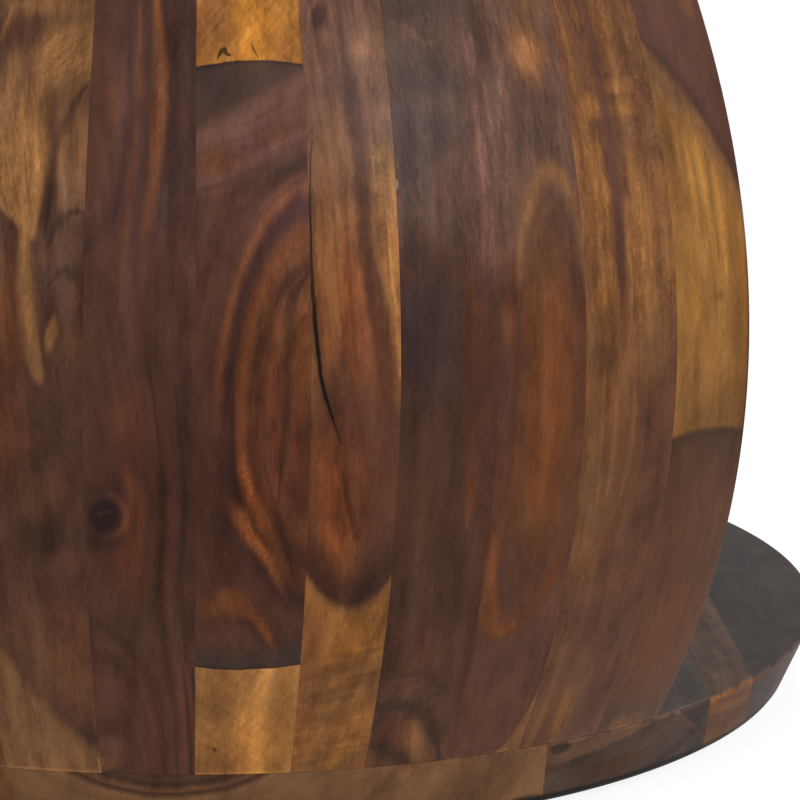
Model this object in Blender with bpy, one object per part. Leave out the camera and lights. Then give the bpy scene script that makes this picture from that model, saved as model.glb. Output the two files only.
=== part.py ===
"""Open-sided barrel coffee table: two coopered stave panels between two planked discs.

Metres, +Z up. The origin is on the floor under the centre of the table, the front panel
faces -Y, and the open sides face -X and +X.
"""
import math

import bmesh
import bpy
from mathutils import Matrix, Vector

# Overall form
BELLY_RADIUS = 0.350        # outside of the staves at mid height
JOINT_RADIUS = 0.3055       # outside where the staves meet the discs
RIM_RADIUS = 0.292          # outside of the base's underside and of the table top's face
BODY_HEIGHT = 0.396         # underside of the base to the face of the table top
DISC_THICKNESS = 0.0315     # base and table top alike
DISC_EASE = 0.002           # rounding of the edges that hands and floor touch

# Stave panels: width of each stave across its outside at the belly, left to right
STAVE_WIDTHS = (0.040, 0.038, 0.042, 0.039, 0.046, 0.044, 0.045, 0.036, 0.041, 0.040, 0.046, 0.043)
STAVE_THICKNESS = 0.024

# Planks: place of each glue line across the disc, left to right
BASE_GLUE_LINES = (-0.240, -0.170, -0.075, 0.1485, 0.228, 0.252)
TOP_GLUE_LINES = (-0.232, -0.149, -0.062, 0.041, 0.128, 0.214)
NARROWEST_PLANK = 0.010     # a strip narrower than this is left on its neighbour

# Dowels that locate the panels, by the count of the stave from the panel's left
DOWELED_STAVES = (2, 6, 11)
DOWEL_DIAMETER = 0.008
DOWEL_LENGTH = 0.036
DOWEL_CHAMFER = 0.001
DOWEL_CLEARANCE = 0.0003    # all round the dowel
DOWEL_END_ROOM = 0.0008     # glue room past each end of the dowel

# Floor glides
GLIDE_HEIGHT = 0.004
GLIDE_DIAMETER = 0.032
GLIDE_EASE = 0.0008
GLIDE_SETBACK = 0.060       # rim of the underside to the middle of a glide
GLIDE_COUNT = 4

# Gaps left between pieces that are glued or seated
GLUE_LINE = 0.0003
SEAT_GAP = 0.0003

# Fineness of the curved faces
STAVE_RINGS = 16
STAVE_COLUMNS = 2
DISC_SIDES = 96
EASE_STEPS = 2
DOWEL_SIDES = 12
GLIDE_SIDES = 20
SMOOTH_BELOW = math.radians(30)

# Timber and felt: base colour, roughness
TIMBERS = {
    "golden_sapwood": ((0.42, 0.22, 0.075), 0.42),
    "tan_sapwood": ((0.26, 0.145, 0.06), 0.42),
    "amber_heartwood": ((0.17, 0.075, 0.03), 0.40),
    "red_heartwood": ((0.095, 0.036, 0.02), 0.38),
    "dark_heartwood": ((0.055, 0.026, 0.018), 0.38),
    "slate_heartwood": ((0.070, 0.052, 0.046), 0.40),
    "beech_dowel": ((0.55, 0.40, 0.24), 0.60),
    "grey_felt": ((0.05, 0.048, 0.045), 0.95),
}
STAVE_TIMBERS = (
    "dark_heartwood", "amber_heartwood", "red_heartwood", "golden_sapwood", "tan_sapwood", "red_heartwood",
    "amber_heartwood", "tan_sapwood", "dark_heartwood", "red_heartwood", "tan_sapwood", "golden_sapwood",
)
PLANK_TIMBERS = (
    "slate_heartwood", "amber_heartwood", "dark_heartwood", "tan_sapwood", "slate_heartwood",
    "red_heartwood", "slate_heartwood",
)

# Heights that follow from the sizes above
BASE_UNDERSIDE = GLIDE_HEIGHT
BASE_FACE = BASE_UNDERSIDE + DISC_THICKNESS
TOP_FACE = BASE_UNDERSIDE + BODY_HEIGHT
TOP_UNDERSIDE = TOP_FACE - DISC_THICKNESS
BELLY_HEIGHT = (BASE_FACE + TOP_UNDERSIDE) / 2
STAVE_REACH = (TOP_UNDERSIDE - BASE_FACE) / 2


def clear_scene():
    """Remove every object, so the model starts from nothing."""
    for old in list(bpy.data.objects):
        bpy.data.objects.remove(old, do_unlink=True)


def timber_material(piece_name, timber):
    """A plain finish of the timber's own colour for one piece."""
    colour, roughness = TIMBERS[timber]
    material = bpy.data.materials.new(piece_name + "_" + timber)
    material.use_nodes = True
    shader = material.node_tree.nodes["Principled BSDF"]
    shader.inputs["Base Color"].default_value = (*colour, 1.0)
    shader.inputs["Roughness"].default_value = roughness
    shader.inputs["Metallic"].default_value = 0.0
    return material


def add_piece(name, bm, timber, parent):
    """Turn a finished bmesh into a named piece of the table."""
    bmesh.ops.recalc_face_normals(bm, faces=bm.faces)
    mesh = bpy.data.meshes.new(name)
    bm.to_mesh(mesh)
    bm.free()
    mesh.shade_smooth()
    mesh.set_sharp_from_angle(angle=SMOOTH_BELOW)
    piece = bpy.data.objects.new(name, mesh)
    bpy.context.scene.collection.objects.link(piece)
    piece.parent = parent
    piece.data.materials.append(timber_material(name, timber))
    return piece


def add_group(name, height=0.0, turn=0.0):
    """An empty that carries the pieces of one panel or disc."""
    group = bpy.data.objects.new(name, None)
    bpy.context.scene.collection.objects.link(group)
    group.location = (0.0, 0.0, height)
    group.rotation_euler = (0.0, 0.0, turn)
    return group


def barrel_radius(height):
    """Outside radius of the barrel: a parabola from joint to belly to joint."""
    share = (height - BELLY_HEIGHT) / STAVE_REACH
    return BELLY_RADIUS - (BELLY_RADIUS - JOINT_RADIUS) * share ** 2


def barrel_slope(height):
    """Change of the outside radius with height."""
    return -2 * (BELLY_RADIUS - JOINT_RADIUS) * (height - BELLY_HEIGHT) / STAVE_REACH ** 2


def level_thickness(height):
    """Thickness of a stave measured level, where it leans."""
    return STAVE_THICKNESS * math.hypot(1.0, barrel_slope(height))


def round_point(angle, radius, height):
    """A point round the barrel, with angle 0 at the front and positive to the right."""
    return Vector((radius * math.sin(angle), -radius * math.cos(angle), height))


def stave_angles():
    """The two edge angles of each stave, with the panel centred on the front."""
    place = -sum(STAVE_WIDTHS) / 2
    angles = []
    for width in STAVE_WIDTHS:
        angles.append((place / BELLY_RADIUS, (place + width) / BELLY_RADIUS))
        place += width
    return angles


def stave_mesh(left, right):
    """A bulged stave: curved faces inside and out, edges on meridian planes, ends cut level."""
    bm = bmesh.new()
    foot = BASE_FACE + SEAT_GAP
    head = TOP_UNDERSIDE - SEAT_GAP
    rings = []
    for step in range(STAVE_RINGS + 1):
        height = foot + (head - foot) * step / STAVE_RINGS
        outside = barrel_radius(height)
        inside = outside - level_thickness(height)
        rows = []
        for radius in (outside, inside):
            trim = math.asin(GLUE_LINE / 2 / radius)
            row = []
            for column in range(STAVE_COLUMNS + 1):
                angle = left + trim + (right - left - 2 * trim) * column / STAVE_COLUMNS
                row.append(bm.verts.new(round_point(angle, radius, height)))
            rows.append(row)
        # one closed ring: across the outside, then back across the inside
        rings.append(rows[0] + rows[1][::-1])
    count = len(rings[0])
    for lower, upper in zip(rings, rings[1:]):
        for place in range(count):
            after = (place + 1) % count
            bm.faces.new((lower[place], lower[after], upper[after], upper[place]))
    for ring in (rings[0], rings[-1]):
        for column in range(STAVE_COLUMNS):
            inner = count - 1 - column
            bm.faces.new((ring[column], ring[column + 1], ring[inner - 1], ring[inner]))
    return bm


def dowel_mesh(radius, length, chamfer):
    """A round pin along Z, centred, with its ends eased."""
    bm = bmesh.new()
    bmesh.ops.create_cone(bm, cap_ends=True, segments=DOWEL_SIDES, radius1=radius, radius2=radius, depth=length)
    if chamfer > 0:
        ends = [edge for edge in bm.edges if abs(edge.verts[0].co.z - edge.verts[1].co.z) < length / 2]
        bmesh.ops.bevel(bm, geom=ends, offset=chamfer, segments=1, affect="EDGES", clamp_overlap=True)
    return bm


def dowel_placement(angle, joint_height):
    """Place a dowel in the middle of the stave's end, along the lean of the stave there."""
    middle = barrel_radius(joint_height) - level_thickness(joint_height) / 2
    seat = round_point(angle, middle, joint_height)
    lean = round_point(angle, barrel_slope(joint_height), 1.0)
    return Matrix.Translation(seat) @ lean.to_track_quat("Z", "Y").to_matrix().to_4x4()


def drill(piece, cutter):
    """Cut a dowel hole out of a piece."""
    hole = piece.modifiers.new("dowel_hole", "BOOLEAN")
    hole.operation = "DIFFERENCE"
    hole.solver = "EXACT"
    hole.object = cutter


def make_panel(name, group):
    """Glue up one panel of staves."""
    staves = []
    for count, (left, right) in enumerate(stave_angles(), start=1):
        timber = STAVE_TIMBERS[(count - 1) % len(STAVE_TIMBERS)]
        stave = add_piece("%s_stave_%02d" % (name, count), stave_mesh(left, right), timber, group)
        staves.append(stave)
    return staves


def disc_mesh(lower_radius, upper_radius, eased_radius):
    """A round disc with a tapered rim and the edge of one radius eased."""
    bm = bmesh.new()
    bmesh.ops.create_cone(
        bm, cap_ends=True, segments=DISC_SIDES, radius1=lower_radius, radius2=upper_radius, depth=DISC_THICKNESS,
    )
    bmesh.ops.translate(bm, verts=bm.verts, vec=(0.0, 0.0, DISC_THICKNESS / 2))
    eased_height = 0.0 if eased_radius == lower_radius else DISC_THICKNESS
    eased = [edge for edge in bm.edges if all(abs(v.co.z - eased_height) < DISC_EASE / 4 for v in edge.verts)]
    bmesh.ops.bevel(bm, geom=eased, offset=DISC_EASE, segments=EASE_STEPS, profile=0.5, affect="EDGES")
    return bm


def cut_away(bm, place, side):
    """Saw a mesh along an upright plane across X, dropping what lies past it on one side."""
    cut = bmesh.ops.bisect_plane(
        bm, geom=bm.verts[:] + bm.edges[:] + bm.faces[:], plane_co=(place, 0.0, 0.0),
        plane_no=(side, 0.0, 0.0), clear_outer=True,
    )
    open_edges = [item for item in cut["geom_cut"] if isinstance(item, bmesh.types.BMEdge)]
    bmesh.ops.contextual_create(bm, geom=open_edges)


def plank_spans(glue_lines):
    """The left and right side of each plank, for the glue lines that fall on the disc."""
    reach = min(JOINT_RADIUS, RIM_RADIUS) - NARROWEST_PLANK
    lines = [line for line in sorted(glue_lines) if abs(line) < reach]
    return list(zip([None] + lines, lines + [None]))


def make_disc(name, glue_lines, lower_radius, upper_radius, group):
    """Glue up one disc of planks that run from front to back."""
    planks = []
    for count, (left, right) in enumerate(plank_spans(glue_lines), start=1):
        bm = disc_mesh(lower_radius, upper_radius, RIM_RADIUS)
        if left is not None:
            cut_away(bm, left + GLUE_LINE / 2, -1)
        if right is not None:
            cut_away(bm, right - GLUE_LINE / 2, 1)
        timber = PLANK_TIMBERS[(count - 1) % len(PLANK_TIMBERS)]
        plank = add_piece("%s_plank_%d" % (name, count), bm, timber, group)
        planks.append((plank, left, right))
    return planks


def make_dowels(panel_name, end_name, group, turn, joint_height, staves, planks):
    """Drill one end of a panel and its disc, and put the dowels in."""
    hole_radius = DOWEL_DIAMETER / 2 + DOWEL_CLEARANCE
    angles = stave_angles()
    for order, count in enumerate(DOWELED_STAVES, start=1):
        if count > len(staves):
            continue
        middle = sum(angles[count - 1]) / 2
        placement = dowel_placement(middle, joint_height)
        name = "%s_%s_dowel_%d" % (panel_name, end_name, order)
        dowel = add_piece(name, dowel_mesh(DOWEL_DIAMETER / 2, DOWEL_LENGTH, DOWEL_CHAMFER), "beech_dowel", group)
        dowel.matrix_local = placement
        bm = dowel_mesh(hole_radius, DOWEL_LENGTH + 2 * DOWEL_END_ROOM, 0.0)
        cutter = add_piece(name + "_hole", bm, "beech_dowel", group)
        cutter.matrix_local = placement
        cutter.hide_render = True
        cutter.display_type = "WIRE"
        drill(staves[count - 1], cutter)
        across = (Matrix.Rotation(turn, 4, "Z") @ placement).translation.x
        for plank, left, right in planks:
            clear_left = left is not None and across + hole_radius * 2 < left
            clear_right = right is not None and across - hole_radius * 2 > right
            if not clear_left and not clear_right:
                drill(plank, cutter)


def make_glides(group):
    """Felt pads under the base, evenly round the middle."""
    circle = RIM_RADIUS - GLIDE_SETBACK
    for count in range(GLIDE_COUNT):
        bm = bmesh.new()
        depth = GLIDE_HEIGHT - SEAT_GAP
        radius = GLIDE_DIAMETER / 2
        bmesh.ops.create_cone(bm, cap_ends=True, segments=GLIDE_SIDES, radius1=radius, radius2=radius, depth=depth)
        lower = [edge for edge in bm.edges if all(v.co.z < 0 for v in edge.verts)]
        bmesh.ops.bevel(bm, geom=lower, offset=GLIDE_EASE, segments=1, affect="EDGES", clamp_overlap=True)
        glide = add_piece("floor_glide_%d" % (count + 1), bm, "grey_felt", group)
        angle = math.tau * (count + 0.5) / GLIDE_COUNT
        glide.location = round_point(angle, circle, depth / 2)


def main():
    """Build the table from the floor up."""
    clear_scene()
    floor = add_group("floor")
    base = add_group("base", height=BASE_UNDERSIDE)
    top = add_group("table_top", height=TOP_UNDERSIDE)
    make_glides(floor)
    base_planks = make_disc("base", BASE_GLUE_LINES, RIM_RADIUS, JOINT_RADIUS, base)
    top_planks = make_disc("top", TOP_GLUE_LINES, JOINT_RADIUS, RIM_RADIUS, top)
    for name, turn in (("front", 0.0), ("rear", math.pi)):
        panel = add_group(name + "_panel", turn=turn)
        staves = make_panel(name, panel)
        make_dowels(name, "base", panel, turn, BASE_FACE, staves, base_planks)
        make_dowels(name, "top", panel, turn, TOP_UNDERSIDE, staves, top_planks)


main()
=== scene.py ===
"""Looks of the barrel coffee table: lacquered staves, planked discs, dowels, felt glides and a white studio.

Metres, +Z up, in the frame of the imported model. The front panel faces -Y.
Figures of the boards are drawn in millimetres, across and along each board's own face.
"""

import inspect
import math
import random

import bmesh
import bpy
from bpy.props import FloatProperty, FloatVectorProperty, IntProperty, PointerProperty
from mathutils import Matrix, Vector


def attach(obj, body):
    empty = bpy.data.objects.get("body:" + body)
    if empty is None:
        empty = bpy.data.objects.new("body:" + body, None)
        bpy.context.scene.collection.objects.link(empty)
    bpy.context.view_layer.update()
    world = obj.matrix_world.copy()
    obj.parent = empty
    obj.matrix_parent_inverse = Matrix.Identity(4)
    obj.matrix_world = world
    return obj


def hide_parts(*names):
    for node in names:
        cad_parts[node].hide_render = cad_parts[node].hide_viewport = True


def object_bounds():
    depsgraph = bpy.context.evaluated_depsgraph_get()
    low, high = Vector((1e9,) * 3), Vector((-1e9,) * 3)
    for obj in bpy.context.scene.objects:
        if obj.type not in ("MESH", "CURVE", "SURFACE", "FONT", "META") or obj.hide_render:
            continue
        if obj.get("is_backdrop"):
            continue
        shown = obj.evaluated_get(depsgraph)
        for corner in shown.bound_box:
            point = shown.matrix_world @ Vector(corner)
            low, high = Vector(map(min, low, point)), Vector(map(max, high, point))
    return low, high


bl_info = {
    "name": "Barrel Coffee Table",
    "version": (1, 0, 0),
    "blender": (4, 5, 0),
    "location": "View3D > Sidebar > Barrel Table",
    "description": "Dresses the staves, discs, dowels and glides of an open-sided barrel coffee table",
    "category": "Object",
}

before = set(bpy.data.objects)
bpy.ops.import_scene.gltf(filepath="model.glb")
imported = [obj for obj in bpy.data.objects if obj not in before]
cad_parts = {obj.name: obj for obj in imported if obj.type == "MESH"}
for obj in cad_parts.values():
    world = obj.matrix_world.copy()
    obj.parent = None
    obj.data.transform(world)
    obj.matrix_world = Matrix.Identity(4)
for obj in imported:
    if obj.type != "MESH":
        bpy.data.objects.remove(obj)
CAD_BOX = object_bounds()

MILLIMETRES = 1000.0
FLOOR_LEVEL = -0.0003    # just under the glides
FLOOR_HALF = 6.0    # half the side of the square floor
FLOOR_CELLS = 8
FLOOR_ROUGHNESS = 0.9
EDGE_ROW = 0.0003    # between a rounded edge and the first row of the face beside it
EASE_SHARES = (0.0, 0.12, 0.45, 1.0)    # rows over a rounded edge, as shares of its radius
RIM_ROWS = 5
BARE_TURN = math.radians(0.6)    # turn past a panel in which the disc's edge becomes bare
CORNER_SLACK = 1e-5    # points this close in height lie on one edge
BELOW_FACE = 0.001    # points of the rim that are at least so far below the face give its taper
FIRST_SHOWN = 4    # staves of the front panel before this one may be mirrored or upended
FRONT_SEED, REAR_SEED, BASE_SEED, TOP_SEED = 41, 87, 23, 57
SEED_RANGE = 80.0    # so far apart the noise of two boards can start
SENSOR_WIDTH = 36.0
LIT_POINT = (0.0, -0.1, 0.22)
KEY_PLACE, KEY_SIZE = (1.25, -2.0, 1.45), 0.8
FILL_PLACE, FILL_SIZE = (-1.6, -1.9, 1.7), 1.4
WHITE = (1.0, 1.0, 1.0, 1.0)
STAVE_SLOT = "stave_timber"
DISC_SLOT = "disc_timber"


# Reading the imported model

def node_points(name):
    """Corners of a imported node, in metres."""
    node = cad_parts[name]
    return [node.matrix_world @ vertex.co for vertex in node.data.vertices]


def node_names(start):
    """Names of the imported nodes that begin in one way, in order."""
    return sorted(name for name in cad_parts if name.startswith(start))


def level_radius(points):
    """Distance of the furthest point from the upright axis of the table."""
    return max(math.hypot(point.x, point.y) for point in points)


class BarrelForm:
    """Outside form of the barrel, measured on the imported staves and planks."""

    def __init__(self):
        stave = node_points("front_stave_01")
        base = [point for name in node_names("base_plank_") for point in node_points(name)]
        self.foot = min(point.z for point in stave)
        self.head = max(point.z for point in stave)
        self.belly_height = (self.foot + self.head) / 2
        self.reach = (self.head - self.foot) / 2
        self.belly = level_radius(stave)
        self.joint = level_radius(base)
        self.base_floor = min(point.z for point in base)
        self.base_face = max(point.z for point in base)
        low_corner = [point for point in stave if point.z < self.foot + CORNER_SLACK]
        across = [math.hypot(point.x, point.y) for point in low_corner]
        lean = math.hypot(1.0, 2 * (self.belly - self.joint) / self.reach)
        self.thickness = (max(across) - min(across)) / lean
        taper = min((self.joint - math.hypot(point.x, point.y)) / (self.base_face - point.z)
                    for point in base if point.z < self.base_face - BELOW_FACE)
        self.rim = self.joint - taper * (self.base_face - self.base_floor)

    def radius(self, height):
        """Outside radius at a height."""
        share = (height - self.belly_height) / self.reach
        return self.belly - (self.belly - self.joint) * share ** 2

    def level_thickness(self, height):
        """Thickness of a stave measured level, where it leans."""
        slope = 2 * (self.belly - self.joint) * (height - self.belly_height) / self.reach ** 2
        return self.thickness * math.hypot(1.0, slope)


FORM = BarrelForm()


# Sizes and colours that a user would change

class TableTimbers(bpy.types.PropertyGroup):
    """Colours of the timbers and the finish over them."""

    golden: FloatVectorProperty(
        name="Golden sapwood", description="Bright sapwood of the pale blocks",
        default=(0.46, 0.185, 0.030), subtype="COLOR", size=3, min=0.0, max=1.0)
    honey: FloatVectorProperty(
        name="Honey sapwood", description="Sapwood of the pale streaks",
        default=(0.295, 0.130, 0.040), subtype="COLOR", size=3, min=0.0, max=1.0)
    tan: FloatVectorProperty(
        name="Tan sapwood", description="Greyer sapwood",
        default=(0.180, 0.078, 0.031), subtype="COLOR", size=3, min=0.0, max=1.0)
    amber: FloatVectorProperty(
        name="Amber heartwood", description="Orange glow in the heartwood",
        default=(0.135, 0.042, 0.013), subtype="COLOR", size=3, min=0.0, max=1.0)
    rose: FloatVectorProperty(
        name="Rose heartwood", description="Pinkish brown heartwood",
        default=(0.122, 0.051, 0.031), subtype="COLOR", size=3, min=0.0, max=1.0)
    russet: FloatVectorProperty(
        name="Russet heartwood", description="Red brown heartwood",
        default=(0.080, 0.030, 0.017), subtype="COLOR", size=3, min=0.0, max=1.0)
    umber: FloatVectorProperty(
        name="Umber heartwood", description="Dark brown heartwood",
        default=(0.062, 0.026, 0.015), subtype="COLOR", size=3, min=0.0, max=1.0)
    slate: FloatVectorProperty(
        name="Slate heartwood", description="Nearly black heartwood",
        default=(0.042, 0.026, 0.021), subtype="COLOR", size=3, min=0.0, max=1.0)
    beech: FloatVectorProperty(
        name="Beech", description="Plain beech of the dowels",
        default=(0.55, 0.40, 0.24), subtype="COLOR", size=3, min=0.0, max=1.0)
    felt: FloatVectorProperty(
        name="Felt", description="Pressed felt of the glides",
        default=(0.055, 0.052, 0.049), subtype="COLOR", size=3, min=0.0, max=1.0)


class TableSizes(bpy.types.PropertyGroup):
    """Small sizes of the joinery, and the fineness of the meshes."""

    seam: FloatProperty(
        name="Glue seam", description="Gap that shows between neighbouring boards",
        default=0.00001, min=0.0, max=0.001, unit="LENGTH", precision=5)
    seam_ease: FloatProperty(
        name="Seam ease", description="Rounding of a board's edge at a glue seam",
        default=0.00006, min=0.00002, max=0.002, unit="LENGTH", precision=5)
    free_edge: FloatProperty(
        name="Free edge", description="Rounding of the panels' upright free edges",
        default=0.0005, min=0.0002, max=0.006, unit="LENGTH", precision=4)
    bare_edge: FloatProperty(
        name="Bare edge", description="Rounding of the disc's edge beside the panels",
        default=0.0014, min=0.0002, max=0.004, unit="LENGTH", precision=4)
    rim_edge: FloatProperty(
        name="Rim edge", description="Rounding of the edge that hands or floor touch",
        default=0.0022, min=0.0002, max=0.005, unit="LENGTH", precision=4)
    stave_rings: IntProperty(
        name="Stave rings", description="Steps along a stave", default=48, min=12, max=200)
    stave_columns: IntProperty(
        name="Stave columns", description="Steps across a stave", default=8, min=3, max=40)
    rim_steps: IntProperty(
        name="Rim steps", description="Steps round a disc", default=288, min=48, max=720)


class TableStage(bpy.types.PropertyGroup):
    """Camera, light and floor."""

    eye: FloatVectorProperty(
        name="Camera place", description="Where the camera stands",
        default=(-0.00033, -1.63612, 0.48693), subtype="TRANSLATION", size=3, unit="LENGTH")
    yaw: FloatProperty(
        name="Camera yaw", description="Turn of the camera to the right",
        default=math.radians(3.505), subtype="ANGLE")
    pitch: FloatProperty(
        name="Camera pitch", description="Tilt of the camera below level",
        default=math.radians(12.410), subtype="ANGLE")
    roll: FloatProperty(
        name="Camera roll", description="Turn of the camera about its own line of sight",
        default=math.radians(0.875), subtype="ANGLE")
    lens: FloatProperty(
        name="Camera lens", description="Focal length for a 36 mm sensor",
        default=152.55, min=10.0, max=400.0)
    key_power: FloatProperty(
        name="Key power", description="Power of the softbox at the right",
        default=19.0, min=0.0, unit="POWER")
    fill_power: FloatProperty(
        name="Fill power", description="Power of the softbox at the left",
        default=11.0, min=0.0, unit="POWER")
    room_light: FloatProperty(
        name="Room light", description="Strength of the even light of the white room",
        default=0.58, min=0.0, max=2.0)
    floor_colour: FloatVectorProperty(
        name="Floor colour", description="Colour of the plain floor",
        default=(0.93, 0.93, 0.93), subtype="COLOR", size=3, min=0.0, max=1.0)
    floor_glow: FloatProperty(
        name="Floor glow", description="Plain white that the floor shows to the camera",
        default=0.87, min=0.0, max=1.0, subtype="FACTOR")
    floor_shadow: FloatProperty(
        name="Floor shadow", description="How much of the light and shadow on the floor the camera sees",
        default=0.26, min=0.0, max=1.0, subtype="FACTOR")


# Arithmetic over a surface

class Field:
    """A number that varies over a surface, built from shader nodes."""

    def __init__(self, tree, socket):
        self.tree = tree
        self.socket = socket

    def step(self, operation, *others):
        """One math node fed with this field and the others."""
        node = self.tree.nodes.new("ShaderNodeMath")
        node.operation = operation
        for slot, value in zip(node.inputs, (self,) + others):
            feed(self.tree, slot, value)
        return Field(self.tree, node.outputs[0])

    def __add__(self, other):
        return self.step("ADD", other)

    __radd__ = __add__

    def __sub__(self, other):
        return self.step("SUBTRACT", other)

    def __rsub__(self, other):
        return self.step("MULTIPLY_ADD", -1.0, other)

    def __mul__(self, other):
        return self.step("MULTIPLY", other)

    __rmul__ = __mul__

    def __truediv__(self, other):
        return self.step("DIVIDE", other)

    def __abs__(self):
        return self.step("ABSOLUTE")

    def scaled(self, factor, offset):
        """This field times a factor plus an offset."""
        return self.step("MULTIPLY_ADD", factor, offset)

    def root(self):
        """The square root of this field."""
        return self.step("SQRT")

    def smooth(self, low, high, start=0.0, end=1.0):
        """A soft step from start below low to end above high."""
        node = self.tree.nodes.new("ShaderNodeMapRange")
        node.interpolation_type = "SMOOTHSTEP"
        for slot, value in zip(node.inputs, (self, low, high, start, end)):
            feed(self.tree, slot, value)
        return Field(self.tree, node.outputs["Result"])


def feed(tree, slot, value):
    """Link a field or a socket into a slot, or set a plain value on it."""
    if isinstance(value, Field):
        tree.links.new(value.socket, slot)
    elif isinstance(value, bpy.types.NodeSocket):
        tree.links.new(value, slot)
    else:
        slot.default_value = value


def combined(tree, x, y, z):
    """A vector from three fields or numbers."""
    node = tree.nodes.new("ShaderNodeCombineXYZ")
    for slot, value in zip(node.inputs, (x, y, z)):
        feed(tree, slot, value)
    return node.outputs["Vector"]


def noise(tree, place, detail=2.0, rough=0.5):
    """Cloud noise at a vector, about zero."""
    return Field(tree, noise_node(tree, place, detail, rough).outputs[0]) - 0.5


def noise_node(tree, place, detail, rough):
    """The node of a cloud noise at a vector."""
    node = tree.nodes.new("ShaderNodeTexNoise")
    feed(tree, node.inputs["Vector"], place)
    node.inputs["Scale"].default_value = 1.0
    node.inputs["Detail"].default_value = detail
    node.inputs["Roughness"].default_value = rough
    return node


def mixed(tree, blend, mask, under, over):
    """One colour mixed over another where a mask says."""
    node = tree.nodes.new("ShaderNodeMix")
    node.data_type = "RGBA"
    node.blend_type = blend
    for place, value in ((0, mask), (6, under), (7, over)):
        feed(tree, node.inputs[place], value)
    return node.outputs[2]


def through_points(points):
    """Factors a, b, c of the parabola a + b t + c t^2 through three (t, value) points."""
    (t0, v0), (t1, v1), (t2, v2) = points
    first = (v1 - v0) / (t1 - t0)
    second = ((v2 - v1) / (t2 - t1) - first) / (t2 - t0)
    return v0 - first * t0 + second * t0 * t1, first - second * (t0 + t1), second


def rounded(points):
    """More points on a smooth curve through the given ones."""
    points = [points[0]] + list(points) + [points[-1]]
    path = []
    for before, start, end, after in zip(points, points[1:], points[2:], points[3:]):
        path.append(start)
        path.append(tuple((9 * (b + c) - a - d) / 16 for a, b, c, d in zip(before, start, end, after)))
    return path + [points[-1]]


# Node groups that the boards share

TIMBER_STOPS = (
    (0.00, (0.30, 0.29, 0.31)),
    (0.28, (0.64, 0.62, 0.63)),
    (0.50, (1.00, 1.00, 1.00)),
    (0.72, (1.36, 1.40, 1.40)),
    (1.00, (1.85, 1.95, 1.85)),
)


def wandering_grain(tree, across, along, depth, seed, wander, ruffle):
    """Directions of a board that wander, its steadier places, and its fibre, blotches and pores."""
    slow = noise_node(tree, combined(tree, across / 34.0, along / 95.0, seed + 0.31), 1.0, 0.5)
    sway = tree.nodes.new("ShaderNodeSeparateColor")
    tree.links.new(slow.outputs["Color"], sway.inputs[0])
    side, length = (Field(tree, out) - 0.5 for out in sway.outputs[:2])
    quick = noise(tree, combined(tree, across / 7.0, along / 20.0, seed + 5.77), 5.0, 0.6)
    u = across + side * wander * 2.0 + quick * ruffle * 2.0
    v = along + length * wander * 4.0 + quick * ruffle * 3.0
    p = across + quick * ruffle * 1.4
    q = along + quick * ruffle * 2.4
    crisp = along + quick * 1.2
    fibre = noise(tree, combined(tree, u * 0.8, along / 5.5, depth * 0.6 + seed), 3.0, 0.65)
    blotch = noise(tree, combined(tree, u / 10.0, v / 21.0, depth / 20.0 + seed * 1.7), 5.0, 0.62)
    grit = noise(tree, combined(tree, across * 0.9, along * 0.6, depth * 0.9 + seed), 3.0, 0.7)
    pores = noise(tree, combined(tree, u * 2.1, along / 6.0, depth * 2.1 + seed), 1.0).smooth(0.10, 0.22)
    return u, v, p, q, crisp, fibre, blotch, grit, pores


def oval_patch(tree, u, v, at_u, at_v, wide, tall, cosine, sine, low, high):
    """Patch in the form of an oval with a soft border."""
    across, along = u - at_u, v - at_v
    first = (across * cosine + along * sine) / wide
    second = (along * cosine - across * sine) / tall
    return ((first * first + second * second).root().smooth(low, high, 1.0, 0.0),)


def off_segment(tree, u, v, at_u, at_v, run_u, run_v, length, half, swell):
    """Distance from a straight piece of line, in half widths of a band that swells; the length is squared."""
    across, along = u - at_u, v - at_v
    share = ((across * run_u + along * run_v) / length).step("MINIMUM", 1.0).step("MAXIMUM", 0.0)
    across, along = across - share * run_u, along - share * run_v
    return ((across * across + along * along).root() / (share * swell + half),)


def over_curve(tree, u, v, a, b, c):
    """Distance along the board over a parabola that crosses it."""
    return (v - ((u * c + b) * u + a),)


def cathedral(tree, u, v, at_u, at_v, aspect):
    """Ovals about a point, longer than they are wide."""
    wide = u - at_u
    tall = (v - at_v) / aspect
    return ((wide * wide + tall * tall).root(),)


def laid_timber(tree, base, timber, mask, grain, along, pitch, contrast, seed, fibre, blotch, grit, gritty):
    """A timber with its grain, laid over what is there."""
    across = grain / pitch
    fine = noise(tree, combined(tree, across + seed, along / pitch / 16.0, seed), 4.0, 0.6)
    broad = noise(tree, combined(tree, across * 0.3 + seed * 1.3, along / pitch / 26.0, seed + 3.0), 1.0)
    tone = (fine * 0.9 + broad * 0.8 + fibre * 0.34 + blotch * 0.85) * contrast + grit * gritty + 0.5
    ramp = tree.nodes.new("ShaderNodeValToRGB")
    stops = ramp.color_ramp.elements
    while len(stops) < len(TIMBER_STOPS):
        stops.new(0.5)
    for stop, (place, tint) in zip(stops, TIMBER_STOPS):
        stop.position = place
        stop.color = (*(part / 2 for part in tint), 1.0)
    feed(tree, ramp.inputs[0], tone)
    doubled = mixed(tree, "ADD", 1.0, ramp.outputs["Color"], ramp.outputs["Color"])
    shaded = mixed(tree, "MULTIPLY", 1.0, timber, doubled)
    return (mixed(tree, "MIX", mask, base, shaded),)


COLOUR_INPUTS = ("base", "timber")
GROUP_OUTPUTS = {
    wandering_grain: ("u", "v", "p", "q", "crisp", "fibre", "blotch", "grit", "pores"),
    laid_timber: ("colour",),
}


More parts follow.
